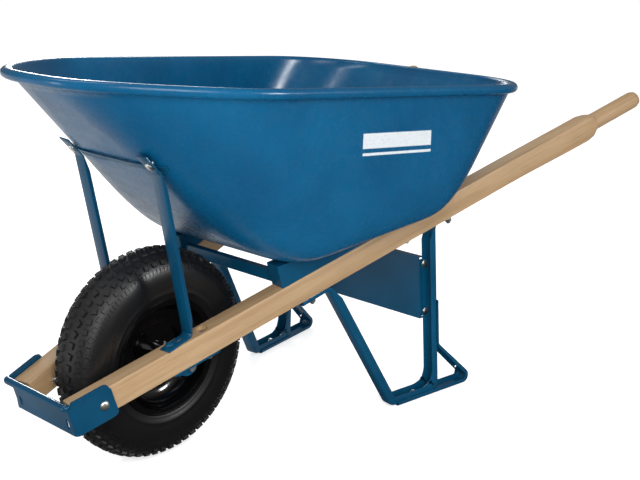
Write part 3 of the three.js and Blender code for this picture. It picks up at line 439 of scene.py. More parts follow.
def rimRing(inset, drop):
    flat = trayOutline(tray["rimX"], tray["rimHalf"], tray["rimCorner"], inset)
    near = np.clip(1 - (flat[:, 0] - tray["rimX"][0]) / tray["rimBowReach"], 0, 1)
    bow = tray["rimBow"] * near * np.maximum(0, 1 - (flat[:, 1] / tray["rimHalf"][0]) ** 2)
    x = flat[:, 0] - bow
    height = tray["rimRear"] + tray["rimTilt"] * (x - tray["rimX"][1]) - drop
    return np.column_stack([x, flat[:, 1], height])


def trayWall(inset, lift, top):
    flat = floorRing(tray["flatX"], tray["flatHalf"], tray["flatCorner"], inset / 2, lift)
    corner = floorRing(tray["floorX"], tray["floorHalf"], tray["floorCorner"], inset, lift)
    end = corner + (top - corner) * tray["wallFillet"]
    rings = []
    for t in np.linspace(0, 1, tray["levels"]):
        low = flat + (corner - flat) * t
        high = corner + (end - corner) * t
        rings.append(low + (high - low) * t)
    for t in np.linspace(0, 1, tray["rise"] + 1)[1:]:
        share = tray["wallFillet"] + (1 - tray["wallFillet"]) * t
        rings.append(corner + (top - corner) * share)
    return rings


def rollRing(angle):
    a = math.radians(angle)
    return rimRing(-tray["bead"] * math.cos(a), -tray["bead"] * math.sin(a))


def trayShell():
    outer = trayWall(0, 0, rollRing(-135))
    inner = trayWall(tray["sheet"], tray["sheet"], rollRing(180))
    roll = [rollRing(a) for a in np.linspace(-135, 180, tray["rollSteps"] + 2)[1:-1]]
    shrink = [1, 0.66, 0.33]
    floors = []
    for ring in (outer[0], inner[0]):
        middle = ring.mean(axis=0)
        floors.append([middle + (ring - middle) * s for s in shrink])
    rings = floors[0][:0:-1] + outer + roll + inner[::-1] + floors[1][1:]
    count = len(rings[0])
    vertices = [fromAxle(*p) for ring in rings for p in ring]
    faces = ringFaces(rings)
    for ring, base in ((rings[0], 0), (rings[-1], (len(rings) - 1) * count)):
        middle = len(vertices)
        vertices.append(fromAxle(*ring.mean(axis=0)))
        faces += [(base + i, base + (i + 1) % count, middle) for i in range(count)]
    return makeMesh("trayShell", vertices, faces)


trayMesh = facingOut(trayShell(), 80)
trayLook = showMesh("tray_look", trayMesh, trayEnamel)
standFor(trayLook, "frame", "blue_enamel", "tray")
print("tray:", len(trayMesh.polygons), "faces")


# Handles: square ash bars that swell and then narrow to a round grip

bar = {
    "datum": (-156, 104, 173), "width": 38, "height": 48, "front": -80, "rear": 1425,
    "gripStart": 1274, "gripRadius": 19.5, "gripRise": 22.5, "taper": 40, "belly": 6, "swell": 260, "edge": 3,
    "boreAt": 197, "boreRadius": 11, "boreDepth": 8,
}
handleTurn = Matrix.Rotation(handleSplay, 4, "Z") @ Matrix.Rotation(-handleSlope, 4, "Y")
handlePlace = Matrix.Translation(fromAxle(*bar["datum"])) @ handleTurn


def onHandle(along, out, up):
    return handlePlace @ Vector((along * mm, out * mm, up * mm))


def mirrored(points):
    return [Vector((p[0], -p[1], p[2])) for p in points]


def barRing(along, low, high, half, corner):
    middle = -bar["width"] / 2
    centre, rise = (low + high) / 2, (high - low) / 2
    ring = []
    for u, v, start in ((1, 1, 0), (-1, 1, 90), (-1, -1, 180), (1, -1, 270)):
        for step in range(5):
            a = math.radians(start + step * 22.5)
            y = middle + u * (half - corner) + corner * math.cos(a)
            z = centre + v * (rise - corner) + corner * math.sin(a)
            ring.append(onHandle(along, y, z))
    return ring


def handleMesh(side):
    w, h, r, taper = bar["width"] / 2, bar["height"], bar["gripRadius"], bar["gripStart"] - bar["taper"]
    keys = [  # along, low, high, half width, corner radius
        (bar["front"], 0.6, h - 0.6, w - 0.6, 2.6), (bar["front"] + 1, 0, h, w, bar["edge"]),
        (taper - bar["swell"], 0, h, w, bar["edge"]), (taper, -bar["belly"], h, w, bar["edge"] + 2),
        (taper + bar["taper"] * 0.45, -bar["belly"] + 1, h - 2, w, bar["edge"] + 6),
        (bar["gripStart"], bar["gripRise"] - r, bar["gripRise"] + r, r, r - 0.1),
        (bar["rear"] - 14, bar["gripRise"] - r, bar["gripRise"] + r, r, r - 0.1),
        (bar["rear"] - 5, bar["gripRise"] - r * 0.86, bar["gripRise"] + r * 0.86, r * 0.86, r * 0.86 - 0.1),
        (bar["rear"], bar["gripRise"] - r * 0.5, bar["gripRise"] + r * 0.5, r * 0.5, r * 0.5 - 0.1),
    ]
    rings = []
    for a, b in zip(keys[:-1], keys[1:]):
        steps = 1 if b[0] - a[0] < 3 else (14 if b[0] - a[0] < 70 else 20)
        for k in range(steps):
            t = k / steps
            share = smoothStep(t)
            rings.append([a[0] + (b[0] - a[0]) * t] + [a[i] + (b[i] - a[i]) * share for i in range(1, 5)])
    rings.append(list(keys[-1]))
    rings = [barRing(*ring) for ring in rings]
    if side == "left":
        rings = [mirrored(ring) for ring in rings]
    return loftMesh("handle_" + side + "_bar", rings)


def boreCutter(side):
    tool = bmesh.new()
    bmesh.ops.create_cone(tool, cap_ends=True, segments=32, radius1=bar["boreRadius"] * mm,
                          radius2=bar["boreRadius"] * mm, depth=20 * mm)
    up = bar["height"] - bar["boreDepth"] + 10
    flip = Matrix.Diagonal((1, -1, 1, 1)) if side == "left" else Matrix.Identity(4)
    place = flip @ handlePlace @ Matrix.Translation(Vector((bar["boreAt"], -bar["width"] / 2, up)) * mm)
    bmesh.ops.transform(tool, matrix=place, verts=tool.verts)
    bmesh.ops.recalc_face_normals(tool, faces=tool.faces)
    mesh = bpy.data.meshes.new("bore_" + side)
    tool.to_mesh(mesh)
    tool.free()
    cutter = bpy.data.objects.new("bore_" + side, mesh)
    scene.collection.objects.link(cutter)
    return cutter


for side, wood in (("right", ashRight), ("left", ashLeft)):
    shown = showMesh("handle_" + side + "_look", facingOut(handleMesh(side), 40), wood)
    cutAway(shown, boreCutter(side), angle=34)
    standFor(shown, "frame", "ash", "handle_" + side)
print("handles shaped")


# Wheel

tyre = {
    "radius": 202, "half": 50, "shoulder": 60, "tread": 3.7, "segments": 128,
    "rows": [  # angle round the section, lug length, width, height, count, skew in degrees, phase
        (9, 12.5, 12.0, 3.7, 62, 18, 0.0), (31, 11.5, 10.5, 3.6, 62, -16, 0.5),
        (48, 10.5, 9.0, 3.4, 62, 12, 0.0),
    ],
    "ribs": (63, 2.4, 10, 1.1, 130, 0, 0.0), "stray": 0.22,
    # the section below the shoulder and the casing's inner face, as (radius, across)
    "side": [(136, 49.2), (130, 48.3), (127.5, 49.0), (125, 48.6), (121, 46.8), (117, 45.4), (113.2, 44.6),
             (111.9, 43.6), (102.2, 42.4), (102.0, 33)],
    "inside": [(112, 36), (124, 42), (142, 44.5), (165, 42), (183, 28), (190, 10)],
}


def casingAt(angle):  # radius and distance across, this many degrees round the section
    height = tyre["shoulder"] - tyre["tread"]
    c = math.cos(math.radians(angle)) ** (2 / 2.6)
    s = math.sin(math.radians(angle)) ** (2 / 2.6)
    return tyre["radius"] - tyre["tread"] - height + height * c, (tyre["half"] - 0.6) * s


def tyreProfile():
    outer = [casingAt(a) for a in np.linspace(0, 90, 19)]
    half = outer + tyre["side"] + tyre["inside"]
    return half + [(r, -y) for r, y in half[::-1] if y > 0.01][:len(half) - 1]


def newGroup(name, result, **wanted):  # wanted lists the inputs by kind
    tree = bpy.data.node_groups.new(name, "GeometryNodeTree")
    for kind, labels in wanted.items():
        for label in labels:
            tree.interface.new_socket(name=label, in_out="INPUT", socket_type="NodeSocket" + kind)
    tree.interface.new_socket(name=result, in_out="OUTPUT", socket_type="NodeSocketGeometry")
    add = nodesIn(tree)
    return tree, add, add("NodeGroupInput").outputs


def lugTree():
    tree, add, given = newGroup("treadLugs", "Lugs", Int=["Lug Count"], Float=[
        "Ring Radius", "Across", "Tilt", "Phase", "Skew", "Stray"],
        Vector=["Lug Size", "Centre"], Material=["Rubber"])
    index = add("GeometryNodeInputIndex")
    shifted = add("ShaderNodeMath", {0: index, 1: given["Phase"]}, operation="ADD")
    share = add("ShaderNodeMath", {0: shifted, 1: given["Lug Count"]}, operation="DIVIDE")
    angle = add("ShaderNodeMath", {0: share, 1: 2 * math.pi}, operation="MULTIPLY")
    c = add("ShaderNodeMath", {0: angle}, operation="COSINE")
    s = add("ShaderNodeMath", {0: angle}, operation="SINE")
    x = add("ShaderNodeMath", {0: c, 1: given["Ring Radius"]}, operation="MULTIPLY")
    z = add("ShaderNodeMath", {0: s, 1: given["Ring Radius"]}, operation="MULTIPLY")
    spot = add("ShaderNodeCombineXYZ", {0: x, 1: given["Across"], 2: z})
    placed = add("ShaderNodeVectorMath", {0: spot, 1: given["Centre"]}, operation="ADD")
    points = add("GeometryNodePoints", {"Count": given["Lug Count"], "Position": placed})
    facing = add("ShaderNodeMath", {0: math.pi / 2, 1: angle}, operation="SUBTRACT")
    turn = add("ShaderNodeCombineXYZ", {0: given["Tilt"], 1: facing, 2: 0.0})
    block = add("GeometryNodeMeshCube", {
        "Size": given["Lug Size"], "Vertices X": 3, "Vertices Y": 3})
    where = add("GeometryNodeInputPosition")
    parts = add("ShaderNodeSeparateXYZ", {0: where})
    above = add("FunctionNodeCompare", {0: parts.outputs[2], 1: 0.0}, operation="GREATER_THAN")
    narrow = add("ShaderNodeVectorMath", {0: where, 1: (0.8, 0.82, 1.0)}, operation="MULTIPLY")
    shaped = add("GeometryNodeSetPosition", {"Geometry": block, "Selection": above, "Position": narrow})
    copies = add("GeometryNodeInstanceOnPoints", {"Points": points, "Instance": shaped, "Rotation": turn})
    least = add("ShaderNodeMath", {0: given["Skew"], 1: given["Stray"]}, operation="SUBTRACT")
    most = add("ShaderNodeMath", {0: given["Skew"], 1: given["Stray"]}, operation="ADD")
    swung = add("FunctionNodeRandomValue", {2: least, 3: most, "Seed": 7})
    yaw = add("ShaderNodeCombineXYZ", {2: swung.outputs[1]})
    skewed = add("GeometryNodeRotateInstances", {"Instances": copies, "Rotation": yaw})
    real = add("GeometryNodeRealizeInstances", {0: skewed})
    painted = add("GeometryNodeSetMaterial", {"Geometry": real, "Material": given["Rubber"]})
    add("NodeGroupOutput", {0: painted})
    return tree


def runTree(name, tree, values, base=None):
    holder = bpy.data.objects.new(name, base or bpy.data.meshes.new(name))
    scene.collection.objects.link(holder)
    modifier = holder.modifiers.new(name, "NODES")
    modifier.node_group = tree
    for item in tree.interface.items_tree:
        if item.in_out == "INPUT" and item.name in values:
            modifier[item.identifier] = values[item.name]
    mesh = plainMesh(holder)
    bpy.data.objects.remove(holder)
    return mesh


def joinMeshes(name, meshes):
    work = bmesh.new()
    for mesh in meshes:
        work.from_mesh(mesh)
    joined = bpy.data.meshes.new(name)
    work.to_mesh(joined)
    work.free()
    return joined


wheelCentre = Vector((axleX, 0, axleZ))


def tyreMesh():
    body = facingOut(turnMesh("tyreBody", tyreProfile(), tyre["segments"], wheelCentre), 50)
    tree = lugTree()
    parts = [body]
    for angle, length, width, height, count, skew, phase in tyre["rows"] + [tyre["ribs"]]:
        (r0, y0), (r1, y1), (r2, y2) = casingAt(angle), casingAt(angle + 1), casingAt(angle - 1)
        lean = math.atan2(r2 - r1, y1 - y2)
        lift = height / 2 - 1.0
        radius, across = r0 + lift * math.cos(lean), y0 + lift * math.sin(lean)
        for sign in (1, -1):
            values = {"Lug Count": count, "Ring Radius": radius * mm, "Across": sign * across * mm,
                      "Tilt": -sign * lean, "Phase": phase if sign > 0 else phase + 0.5,
                      "Skew": math.radians(sign * skew), "Stray": tyre["stray"],
                      "Lug Size": (length * mm, width * mm, (height + 2.0) * mm),
                      "Centre": wheelCentre, "Rubber": tyreRubber}
            parts.append(runTree("lugRow", tree, values))
    return joinMeshes("tyreWithLugs", parts)


tyreLook = showMesh("tyre_look", tyreMesh(), tyreRubber)
standFor(tyreLook, "wheel", "tyre_rubber", "tyre")
print("tyre:", len(tyreLook.data.polygons), "faces")

rim = {"flange": 112.1, "bed": 101.6, "outer": 45, "sheet": 2.2, "disc": 0.15, "hub": 21.3, "segments": 112}


def rimProfile():
    s, disc = rim["sheet"], rim["disc"]
    tip, bed, outer = rim["flange"], rim["bed"], rim["outer"]
    web = [(bed - 24, disc + 1), (bed - 30, disc), (60, disc), (56, disc + 1.5), (44, disc + 1.5),
           (40, disc), (rim["hub"], disc)]
    outside = [
        (tip, outer + 1.2), (tip + 0.3, outer + 0.2), (tip - 0.4, outer - 0.9), (tip - 3, outer - s),
        (bed + 2, outer - s), (bed, outer - s - 2), (bed, 30), (bed - 1, 24), (bed - 3.5, 17), (bed - 9, 10),
        (bed - 16, 5)]
    inside = [
        (bed - 17.5, 5 + s), (bed - 10.5, 10 + s), (bed - 5.5, 17 + s), (bed - 3, 24 + s), (bed - s, 30 + s),
        (bed - s, outer - 3), (bed - 0.6, outer - 0.6), (bed + 2, outer), (tip - 3, outer + 0.1),
        (tip - 1.4, outer + 1.1)]
    return outside + web + [(r, y + s) for r, y in web[::-1]] + inside


for side, sign in (("right", 1), ("left", -1)):
    profile = [(r, sign * y) for r, y in rimProfile()]
    mesh = facingOut(turnMesh("rim_" + side + "_press", profile, rim["segments"], wheelCentre), 42)
    shown = showMesh("rim_" + side + "_look", mesh, rimEnamel)
    standFor(shown, "wheel", "black_enamel", "rim_" + side)
    refineNode("bearing_" + side, "wheel", "nylon", blackNylon, 0.3)
    refineNode("bearing_seal_" + side, "wheel", "nylon", blackNylon, 0.2)
    refineNode("axle_sleeve_" + side, "frame", "zinc", zincPlate, 0.3)
    refineNode("cotter_pin_" + side, "frame", "zinc", zincPlate, 0.2)
for name, body, slotName, material, edge in (
        ("hub", "wheel", "black_enamel", rimEnamel, 0.5),
        ("inner_tube", "wheel", "tube_rubber", tubeRubber, 0.2),
        ("valve_stem", "wheel", "tube_rubber", tubeRubber, 0.5),
        ("valve_cap", "wheel", "nylon", blackNylon, 0.6),
        ("grease_fitting", "wheel", "zinc", zincPlate, 0.2), ("axle", "frame", "zinc", zincPlate, 0.6)):
    refineNode(name, body, slotName, material, edge)
print("wheel ready")


# Pressed steel frame parts

leg = {
    "width": 28, "lip": 18, "sheet": 2.5, "seat": 10, "frontEnd": 236, "frontBend": 299, "toe": 449,
    "rear": 585, "rearEnd": 642, "bend": 20, "topBend": 9, "planeY": 137.9, "planeX": 0.1485,
    "planeZ": -0.0538,
    "foot": 2.8, "round": 5.5, "fillet": 13, "filletReach": 48,
}
heel = {
    "sheet": 2.5, "lip": 10, "front": 467, "x": 697, "bend": 16, "bendHeight": 108, "top": 205, "round": 5.5,
    "gusset": 12, "gussetReach": 26, "hole": (664, 27), "holeRadius": 3.2,
    "backBend": 14, "backLip": 7, "topLip": 5.9,
}
gap = 0.3
handleUp = handleTurn.to_3x3() @ Vector((0, 0, 1))
legNormal = Vector((-leg["planeX"], 1, 0)).normalized()


def onLeg(x, z, across=0.0):
    middle = Vector((x, leg["planeY"] + leg["planeX"] * x + leg["planeZ"] * z, z))
    return fromAxle(*(middle + legNormal * across))


def handleUnderside(x, y):
    dx, dy = x - bar["datum"][0], y - bar["datum"][1]
    return bar["datum"][2] - (dx * handleUp.x + dy * handleUp.y) / handleUp.z


def legTopAt(x):
    guess = leg["planeY"] + leg["planeX"] * x
    y = guess + leg["planeZ"] * handleUnderside(x, guess)
    return handleUnderside(x, y) - (leg["seat"] + 2 * gap) / math.cos(handleSlope)


def arcPoints(centre, radius, start, end, steps):
    angles = [math.radians(start + (end - start) * k / steps) for k in range(steps + 1)]
    return [(centre[0] + radius * math.cos(a), centre[1] + radius * math.sin(a)) for a in angles]


def channelSection(width, lip, sheet, outer):
    # a rounded U; web along the bottom, lips standing up, drawn anticlockwise
    half, inner = width / 2, max(outer - sheet, 0.6)
    lip = max(lip, outer + 0.4)
    right = arcPoints((half - outer, outer), outer, -90, 0, 5)
    right += arcPoints((half - 0.9, lip - 0.9), 0.9, 0, 90, 2)
    right += arcPoints((half - sheet + 0.9, lip - 0.9), 0.9, 90, 180, 2)
    right += arcPoints((half - sheet - inner, sheet + inner), inner, 0, -90, 4)
    return right + [(-u, v) for u, v in right[::-1]]


def channelMesh(name, path, width, sheet, outer, side):
    rings = []
    for at, toward, lip in path:
        ring = []
        for across, inward in channelSection(width, lip, sheet, outer):
            ring.append(onLeg(at[0] - toward[1] * inward, at[1] + toward[0] * inward, across))
        rings.append(mirrored(ring) if side == "left" else ring)
    return facingOut(loftMesh(name, rings), 38)


def denser(path, most):  # adds rings to the long straight runs
    full = [path[0]]
    for (a, da, la), (b, db, lb) in zip(path[:-1], path[1:]):
        steps = max(1, int(np.linalg.norm(np.subtract(b, a)) // most))
        for k in range(1, steps + 1):
            t = k / steps
            full.append((a + (b - a) * t, da if t < 1 else db, la + (lb - la) * t))
    return full


def swellLips(path, spots):  # deeper lips near the given corners, fading away along the run
    swollen = []
    for at, toward, lip in path:
        extra = 0.0
        for spot, most, reach in spots:
            far = math.dist(at, spot)
            if far < reach:
                extra = max(extra, most * (0.5 + 0.5 * math.cos(math.pi * far / reach)))
        swollen.append((at, toward, lip + extra))
    return swollen


def legMesh(side):
    seat, lip, foot = leg["seat"], leg["lip"], leg["foot"]
    start, end, rear = leg["frontEnd"], leg["rearEnd"], leg["rear"]
    bend = np.array([leg["frontBend"], legTopAt(leg["frontBend"])])
    early = bend + (np.array([leg["toe"], foot]) - bend) * 0.1
    top = legTopAt(rear)
    path = bentPath([
        (start, legTopAt(start), 0, seat), (*bend, leg["topBend"], seat), (*early, 0, lip),
        (leg["toe"], foot, leg["bend"], lip), (rear, foot, leg["bend"], lip), (rear, top - 30, 0, lip),
        (rear, top, leg["topBend"], seat), (end, legTopAt(end), 0, seat)], 9)
    path = swellLips(denser(path, 6), [((rear - 5, foot + 5), leg["fillet"], leg["filletReach"])])
    return channelMesh("leg_" + side + "_press", path, leg["width"], leg["sheet"], leg["round"], side)


def heelMesh(side):
    back = leg["rear"] + gap + heel["sheet"]
    width = leg["width"] + 2 * (heel["sheet"] + 2 * gap)
    path = bentPath([
        (heel["front"], 0, 0, heel["lip"]), (heel["x"], 0, heel["bend"], heel["lip"]),
        (back, heel["bendHeight"], heel["backBend"], heel["backLip"]),
        (back, heel["top"], 0, heel["topLip"])], 8)
    path = swellLips(denser(path, 6), [((heel["x"] - 6, 6), heel["gusset"], heel["gussetReach"])])
    return channelMesh("heel_" + side + "_press", path, width, heel["sheet"], heel["round"], side)


def rodBetween(name, start, end, radius, stretch=None):
    # a round cutter; stretch draws its section out into a slot
    axis = (end - start).normalized()
    side = (stretch or axis.orthogonal()).normalized()
    other = axis.cross(side)
    reach = stretch.length / 2 if stretch else 0.0
    rings = []
    for p in (start, end):
        ring = []
        for k in range(20):
            a = 2 * math.pi * (k + 0.5) / 20
            shift = reach * (1 if math.cos(a) > 0 else -1)
            ring.append(p + side * (math.cos(a) * radius * mm + shift) + other * math.sin(a) * radius * mm)
        rings.append(ring)
    cutter = bpy.data.objects.new(name, facingOut(loftMesh(name, rings)))
    scene.collection.objects.link(cutter)
    return cutter


guard = {
    "sheet": 3, "below": 8, "above": 10, "rear": -6, "room": 5, "bend": 11, "roll": 5.5, "corner": 14,
    "bolt": (-27, 21), "boltRadius": 4.4, "slotAt": 12, "slot": (0.8, 3.6, 12.0), "flat": 6, "curl": 200,
}


def guardSection(blend, low, high):
    # the sheet's middle line from its lower to its upper edge, as (outward, height)
    roll, top, line = guard["roll"], high - guard["roll"], []
    for t in np.linspace(0, 1, 7):
        line.append((2.2 * blend * (1 - smoothStep(t * 3)), low + (top - guard["flat"] - low) * t))
    for angle in np.linspace(0, guard["curl"], 11):
        a = math.radians(angle)
        curled = (roll - roll * math.cos(a), top + roll * math.sin(a))
        straight = (0.0, top - guard["flat"] + (roll + guard["flat"]) * angle / guard["curl"])
        line.append(tuple(c * blend + s * (1 - blend) for c, s in zip(curled, straight)))
    return np.array(line)


def thickened(line, sheet):
    along = np.gradient(line, axis=0)
    along /= np.linalg.norm(along, axis=1)[:, None]
    side = np.column_stack([along[:, 1], -along[:, 0]]) * sheet / 2
    return np.vstack([line - side, (line + side)[::-1]])


def guardMesh():
    lean = Vector((math.cos(handleSlope), 0, math.sin(handleSlope)))
    up = Vector((-math.sin(handleSlope), 0, math.cos(handleSlope)))
    start = fromAxle(0, 0, 0)

    def flat(along, out):
        p = (onHandle(along, out, 0) - start) / mm
        return p.dot(lean), p.y

    out = gap + guard["sheet"]
    rear = flat(guard["rear"], out)
    corner = flat(bar["front"] - guard["room"] - guard["sheet"], out)
    lift = ((onHandle(0, 0, 0) - start) / mm).dot(up)
    low, high = -guard["below"], bar["height"] + guard["above"]
    path = denser(bentPath([
        (*rear, 0, 0), (*corner, guard["bend"], 0), (corner[0], -corner[1], guard["bend"], 0),
        (rear[0], -rear[1], 0, 0)], 10), 5)
    rings = []
    for at, toward, _ in path:
        blend = smoothStep((abs(toward[1]) - 0.25) / 0.7)
        back = max(0.0, guard["corner"] - abs(rear[0] - at[0]) / math.cos(handleSplay))
        drop = guard["corner"] - math.sqrt(max(guard["corner"] ** 2 - back ** 2, 0.0))
        twist = math.copysign(1, at[1]) * abs(toward[0]) * handleUp.y / math.cos(handleSplay)
        ring = []
        for outward, h in thickened(guardSection(blend, low + drop * 0.35, high - drop), guard["sheet"]):
            inward = guard["sheet"] / 2 - outward
            p = lean * (at[0] - toward[1] * inward) + up * (lift + h)
            p.y = at[1] + toward[0] * inward + h * twist
            ring.append(start + p * mm)
        rings.append(ring)
    return facingOut(loftMesh("guard_press", rings), 40)


def guardHoles():
    holes = []
    for sign in (1, -1):
        flip = Matrix.Diagonal((1, sign, 1))
        along, rise = guard["bolt"]
        ends = [flip @ onHandle(along, out, rise) for out in (-4, 15)]
        holes.append(rodBetween("guardHole", *ends, guard["boltRadius"]))
        share, radius, length = guard["slot"]
        front = onHandle(bar["front"] - guard["room"] - guard["sheet"] / 2, 0, guard["slotAt"])
        front.y *= share
        forward = Vector((math.cos(handleSlope), 0, math.sin(handleSlope))) * 15 * mm
        rise = Vector((-math.sin(handleSlope), 0, math.cos(handleSlope))) * length * mm
        ends = [flip @ (front - forward), flip @ (front + forward)]
        holes.append(rodBetween("guardSlot", *ends, radius, rise))
    return holes


braceSlot = {"along": 149, "from": 40, "to": 62, "radius": 3.0, "length": 7}

for side in ("right", "left"):
    flip = Matrix.Diagonal((1, -1 if side == "left" else 1, 1))
    legLook = showMesh("leg_" + side + "_look", legMesh(side), frameEnamel)
    standFor(legLook, "frame", "blue_enamel", "leg_" + side)
    heelLook = showMesh("leg_stabilizer_" + side + "_look", heelMesh(side), frameEnamel)
    ends = [flip @ onLeg(*heel["hole"], across) for across in (-30, 30)]
    cutAway(heelLook, rodBetween("heelHole", *ends, heel["holeRadius"]))
    standFor(heelLook, "frame", "dark_blue_enamel", "leg_stabilizer_" + side)
    for name in ("riser", "axle_bracket"):
        refineNode(name + "_" + side, "frame", "dark_blue_enamel", frameEnamel, 1.0, 3)
    along = braceSlot["along"]
    ends = [flip @ onHandle(along, -bar["width"] / 2, braceSlot[end]) for end in ("from", "to")]
    draw = flip @ (onHandle(along + braceSlot["length"], 0, 0) - onHandle(along, 0, 0))
    slot = rodBetween("braceSlot", *ends, braceSlot["radius"], draw)
    refineNode("tray_brace_" + side, "frame", "dark_blue_enamel", frameEnamel, 1.0, 3, 32, [slot])
guardLook = showMesh("nose_guard_look", guardMesh(), frameEnamel)
cutAway(guardLook, *guardHoles())
standFor(guardLook, "frame", "dark_blue_enamel", "nose_guard")
for name in ("cross_plate", "riser_tie", "brace_strap"):
    refineNode(name, "frame", "dark_blue_enamel", frameEnamel, 0.9, 3)
print("frame parts ready")

# Fasteners

fastener = {
    "headHeight": 4.0, "shankRadius": 4.0, "nutRadius": 7.5, "nutHeight": 6.5, "edge": 0.45,
}


def readFastener(name):
    # finds the axis of a CAD bolt or nut, and what stands along it, in millimetres
    data = nodes[name].data
    points = np.array([v.co[:] for v in data.vertices]) / mm
    spread = sum(f.area * np.outer(f.normal, f.normal) for f in data.polygons)
    values, axes = np.linalg.eigh(spread)
    axis = axes[:, 0] if abs(values[1] - values[0]) > abs(values[2] - values[1]) else axes[:, 2]
    corners = np.unique(points.round(2), axis=0)
    height = corners @ axis
    if "nut_" in name:
        middle = (height.max() + height.min()) / 2
        centre = corners.mean(axis=0)
        face = centre + axis * (middle - centre @ axis + fastener["nutHeight"] / 2)
        return {"at": face, "aim": axis, "head": 0.0, "span": 0.0, "nut": 0.0}
    if (height > height.max() - 0.3).sum() > 1:
        axis, height = -axis, -height
    top = corners[height.argmax()]
    depth = (top - corners) @ axis
    radius = np.linalg.norm(corners - top + np.outer(depth, axis), axis=1)
    crown = fastener["headHeight"]
    hexes = (depth > crown + 3) & (radius > fastener["nutRadius"] - 0.4)
    return {"at": top - axis * crown, "aim": axis, "head": radius[depth < crown + 0.5].max(),
            "span": depth.max() - crown, "nut": depth[hexes].min() - crown if hexes.any() else -1.0}


def fastenerTree():
    tree, add, given = newGroup("boltSet", "Bolts", Geometry=["Points"], Material=["Metal"], Float=[
        "Head Height", "Shank Radius", "Nut Radius", "Nut Height"])

    def stored(name, kind="FLOAT"):
        return add("GeometryNodeInputNamedAttribute", {"Name": name}, data_type=kind)

    def sized(x, y, z):
        return add("ShaderNodeCombineXYZ", {0: x, 1: y, 2: z})

    def setOut(shape, size, chosen, points):
        return add("GeometryNodeInstanceOnPoints", {
            "Points": points, "Selection": chosen, "Instance": shape, "Rotation": turn, "Scale": size})

    aim = stored("aim", "FLOAT_VECTOR")
    head, span, nut = stored("head"), stored("span"), stored("nut")
    turn = add("FunctionNodeAlignRotationToVector", {"Vector": aim}, axis="Z")
    where = add("GeometryNodeInputPosition")
    ball = add("GeometryNodeMeshUVSphere", {"Segments": 24, "Rings": 14, "Radius": 1.0})
    flat = add("ShaderNodeVectorMath", {0: where, 1: (-9, -9, 0)}, operation="MAXIMUM")
    dome = add("GeometryNodeSetPosition", {"Geometry": ball.outputs["Mesh"], "Position": flat})
    down = (0, 0, -0.5)
    rod = add("GeometryNodeMeshCylinder", {"Vertices": 18, "Radius": 1.0, "Depth": 1.0})
    rodDown = add("GeometryNodeSetPosition", {"Geometry": rod.outputs["Mesh"], "Offset": down})
    hexagon = add("GeometryNodeMeshCylinder", {"Vertices": 6, "Radius": 1.0, "Depth": 1.0})
    hexDown = add("GeometryNodeSetPosition", {"Geometry": hexagon.outputs["Mesh"], "Offset": down})
    hasHead = add("FunctionNodeCompare", {0: head, 1: 0.0}, operation="GREATER_THAN")
    hasNut = add("FunctionNodeCompare", {0: nut, 1: -0.0001}, operation="GREATER_THAN")
    back = add("ShaderNodeMath", {0: nut, 1: -1.0}, operation="MULTIPLY")
    drop = add("ShaderNodeVectorMath", {0: aim, "Scale": back}, operation="SCALE")
    lowered = add("GeometryNodeSetPosition", {"Geometry": given["Points"], "Offset": drop})
    shank, wide = given["Shank Radius"], given["Nut Radius"]
    sets = [
        setOut(dome, sized(head, head, given["Head Height"]), hasHead, given["Points"]),
        setOut(rodDown, sized(shank, shank, span), hasHead, given["Points"]),
        setOut(hexDown, sized(wide, wide, given["Nut Height"]), hasNut, lowered),
    ]
    joined = add("GeometryNodeJoinGeometry")
    for piece in sets:
        tree.links.new(piece.outputs[0], joined.inputs[0])
    real = add("GeometryNodeRealizeInstances", {0: joined})
    painted = add("GeometryNodeSetMaterial", {"Geometry": real, "Material": given["Metal"]})
    add("NodeGroupOutput", {0: painted})
    return tree


def fastenerSet(label, names, tree, material):
    read = [readFastener(name) for name in names]
    base = makeMesh(label + "Points", [Vector(r["at"]) * mm for r in read], [])
    base.attributes.new("aim", "FLOAT_VECTOR", "POINT").data.foreach_set(
        "vector", [float(c) for r in read for c in r["aim"]])
    for key in ("head", "span", "nut"):
        base.attributes.new(key, "FLOAT", "POINT").data.foreach_set(
            "value", [float(r[key]) * mm for r in read])
    mesh = runTree(label, tree, {
        "Head Height": fastener["headHeight"] * mm, "Shank Radius": fastener["shankRadius"] * mm,
        "Nut Radius": fastener["nutRadius"] * mm, "Nut Height": fastener["nutHeight"] * mm,
        "Metal": material}, base)
    shown = showMesh(label, facingOut(mesh, 30), material)
    roundEdges(shown, fastener["edge"], 2, 30)
    return standFor(shown, "frame", "zinc", *names)


boltNames = sorted(name for name in nodes if "bolt" in name or "nut_" in name)
tree = fastenerTree()
studNames = [name for name in boltNames if name.startswith("leg_foot")]
paintedNames = [name for name in boltNames if name.startswith("brace_foot")]
zincNames = [name for name in boltNames if name not in paintedNames + studNames]
fastenerSet("painted_bolts_look", paintedNames, tree, frameEnamel)
fastenerSet("zinc_bolts_look", zincNames, tree, zincPlate)
for name in studNames:
    refineNode(name, "frame", "zinc", zincPlate, 0.4)
print("fasteners ready")


# Studio

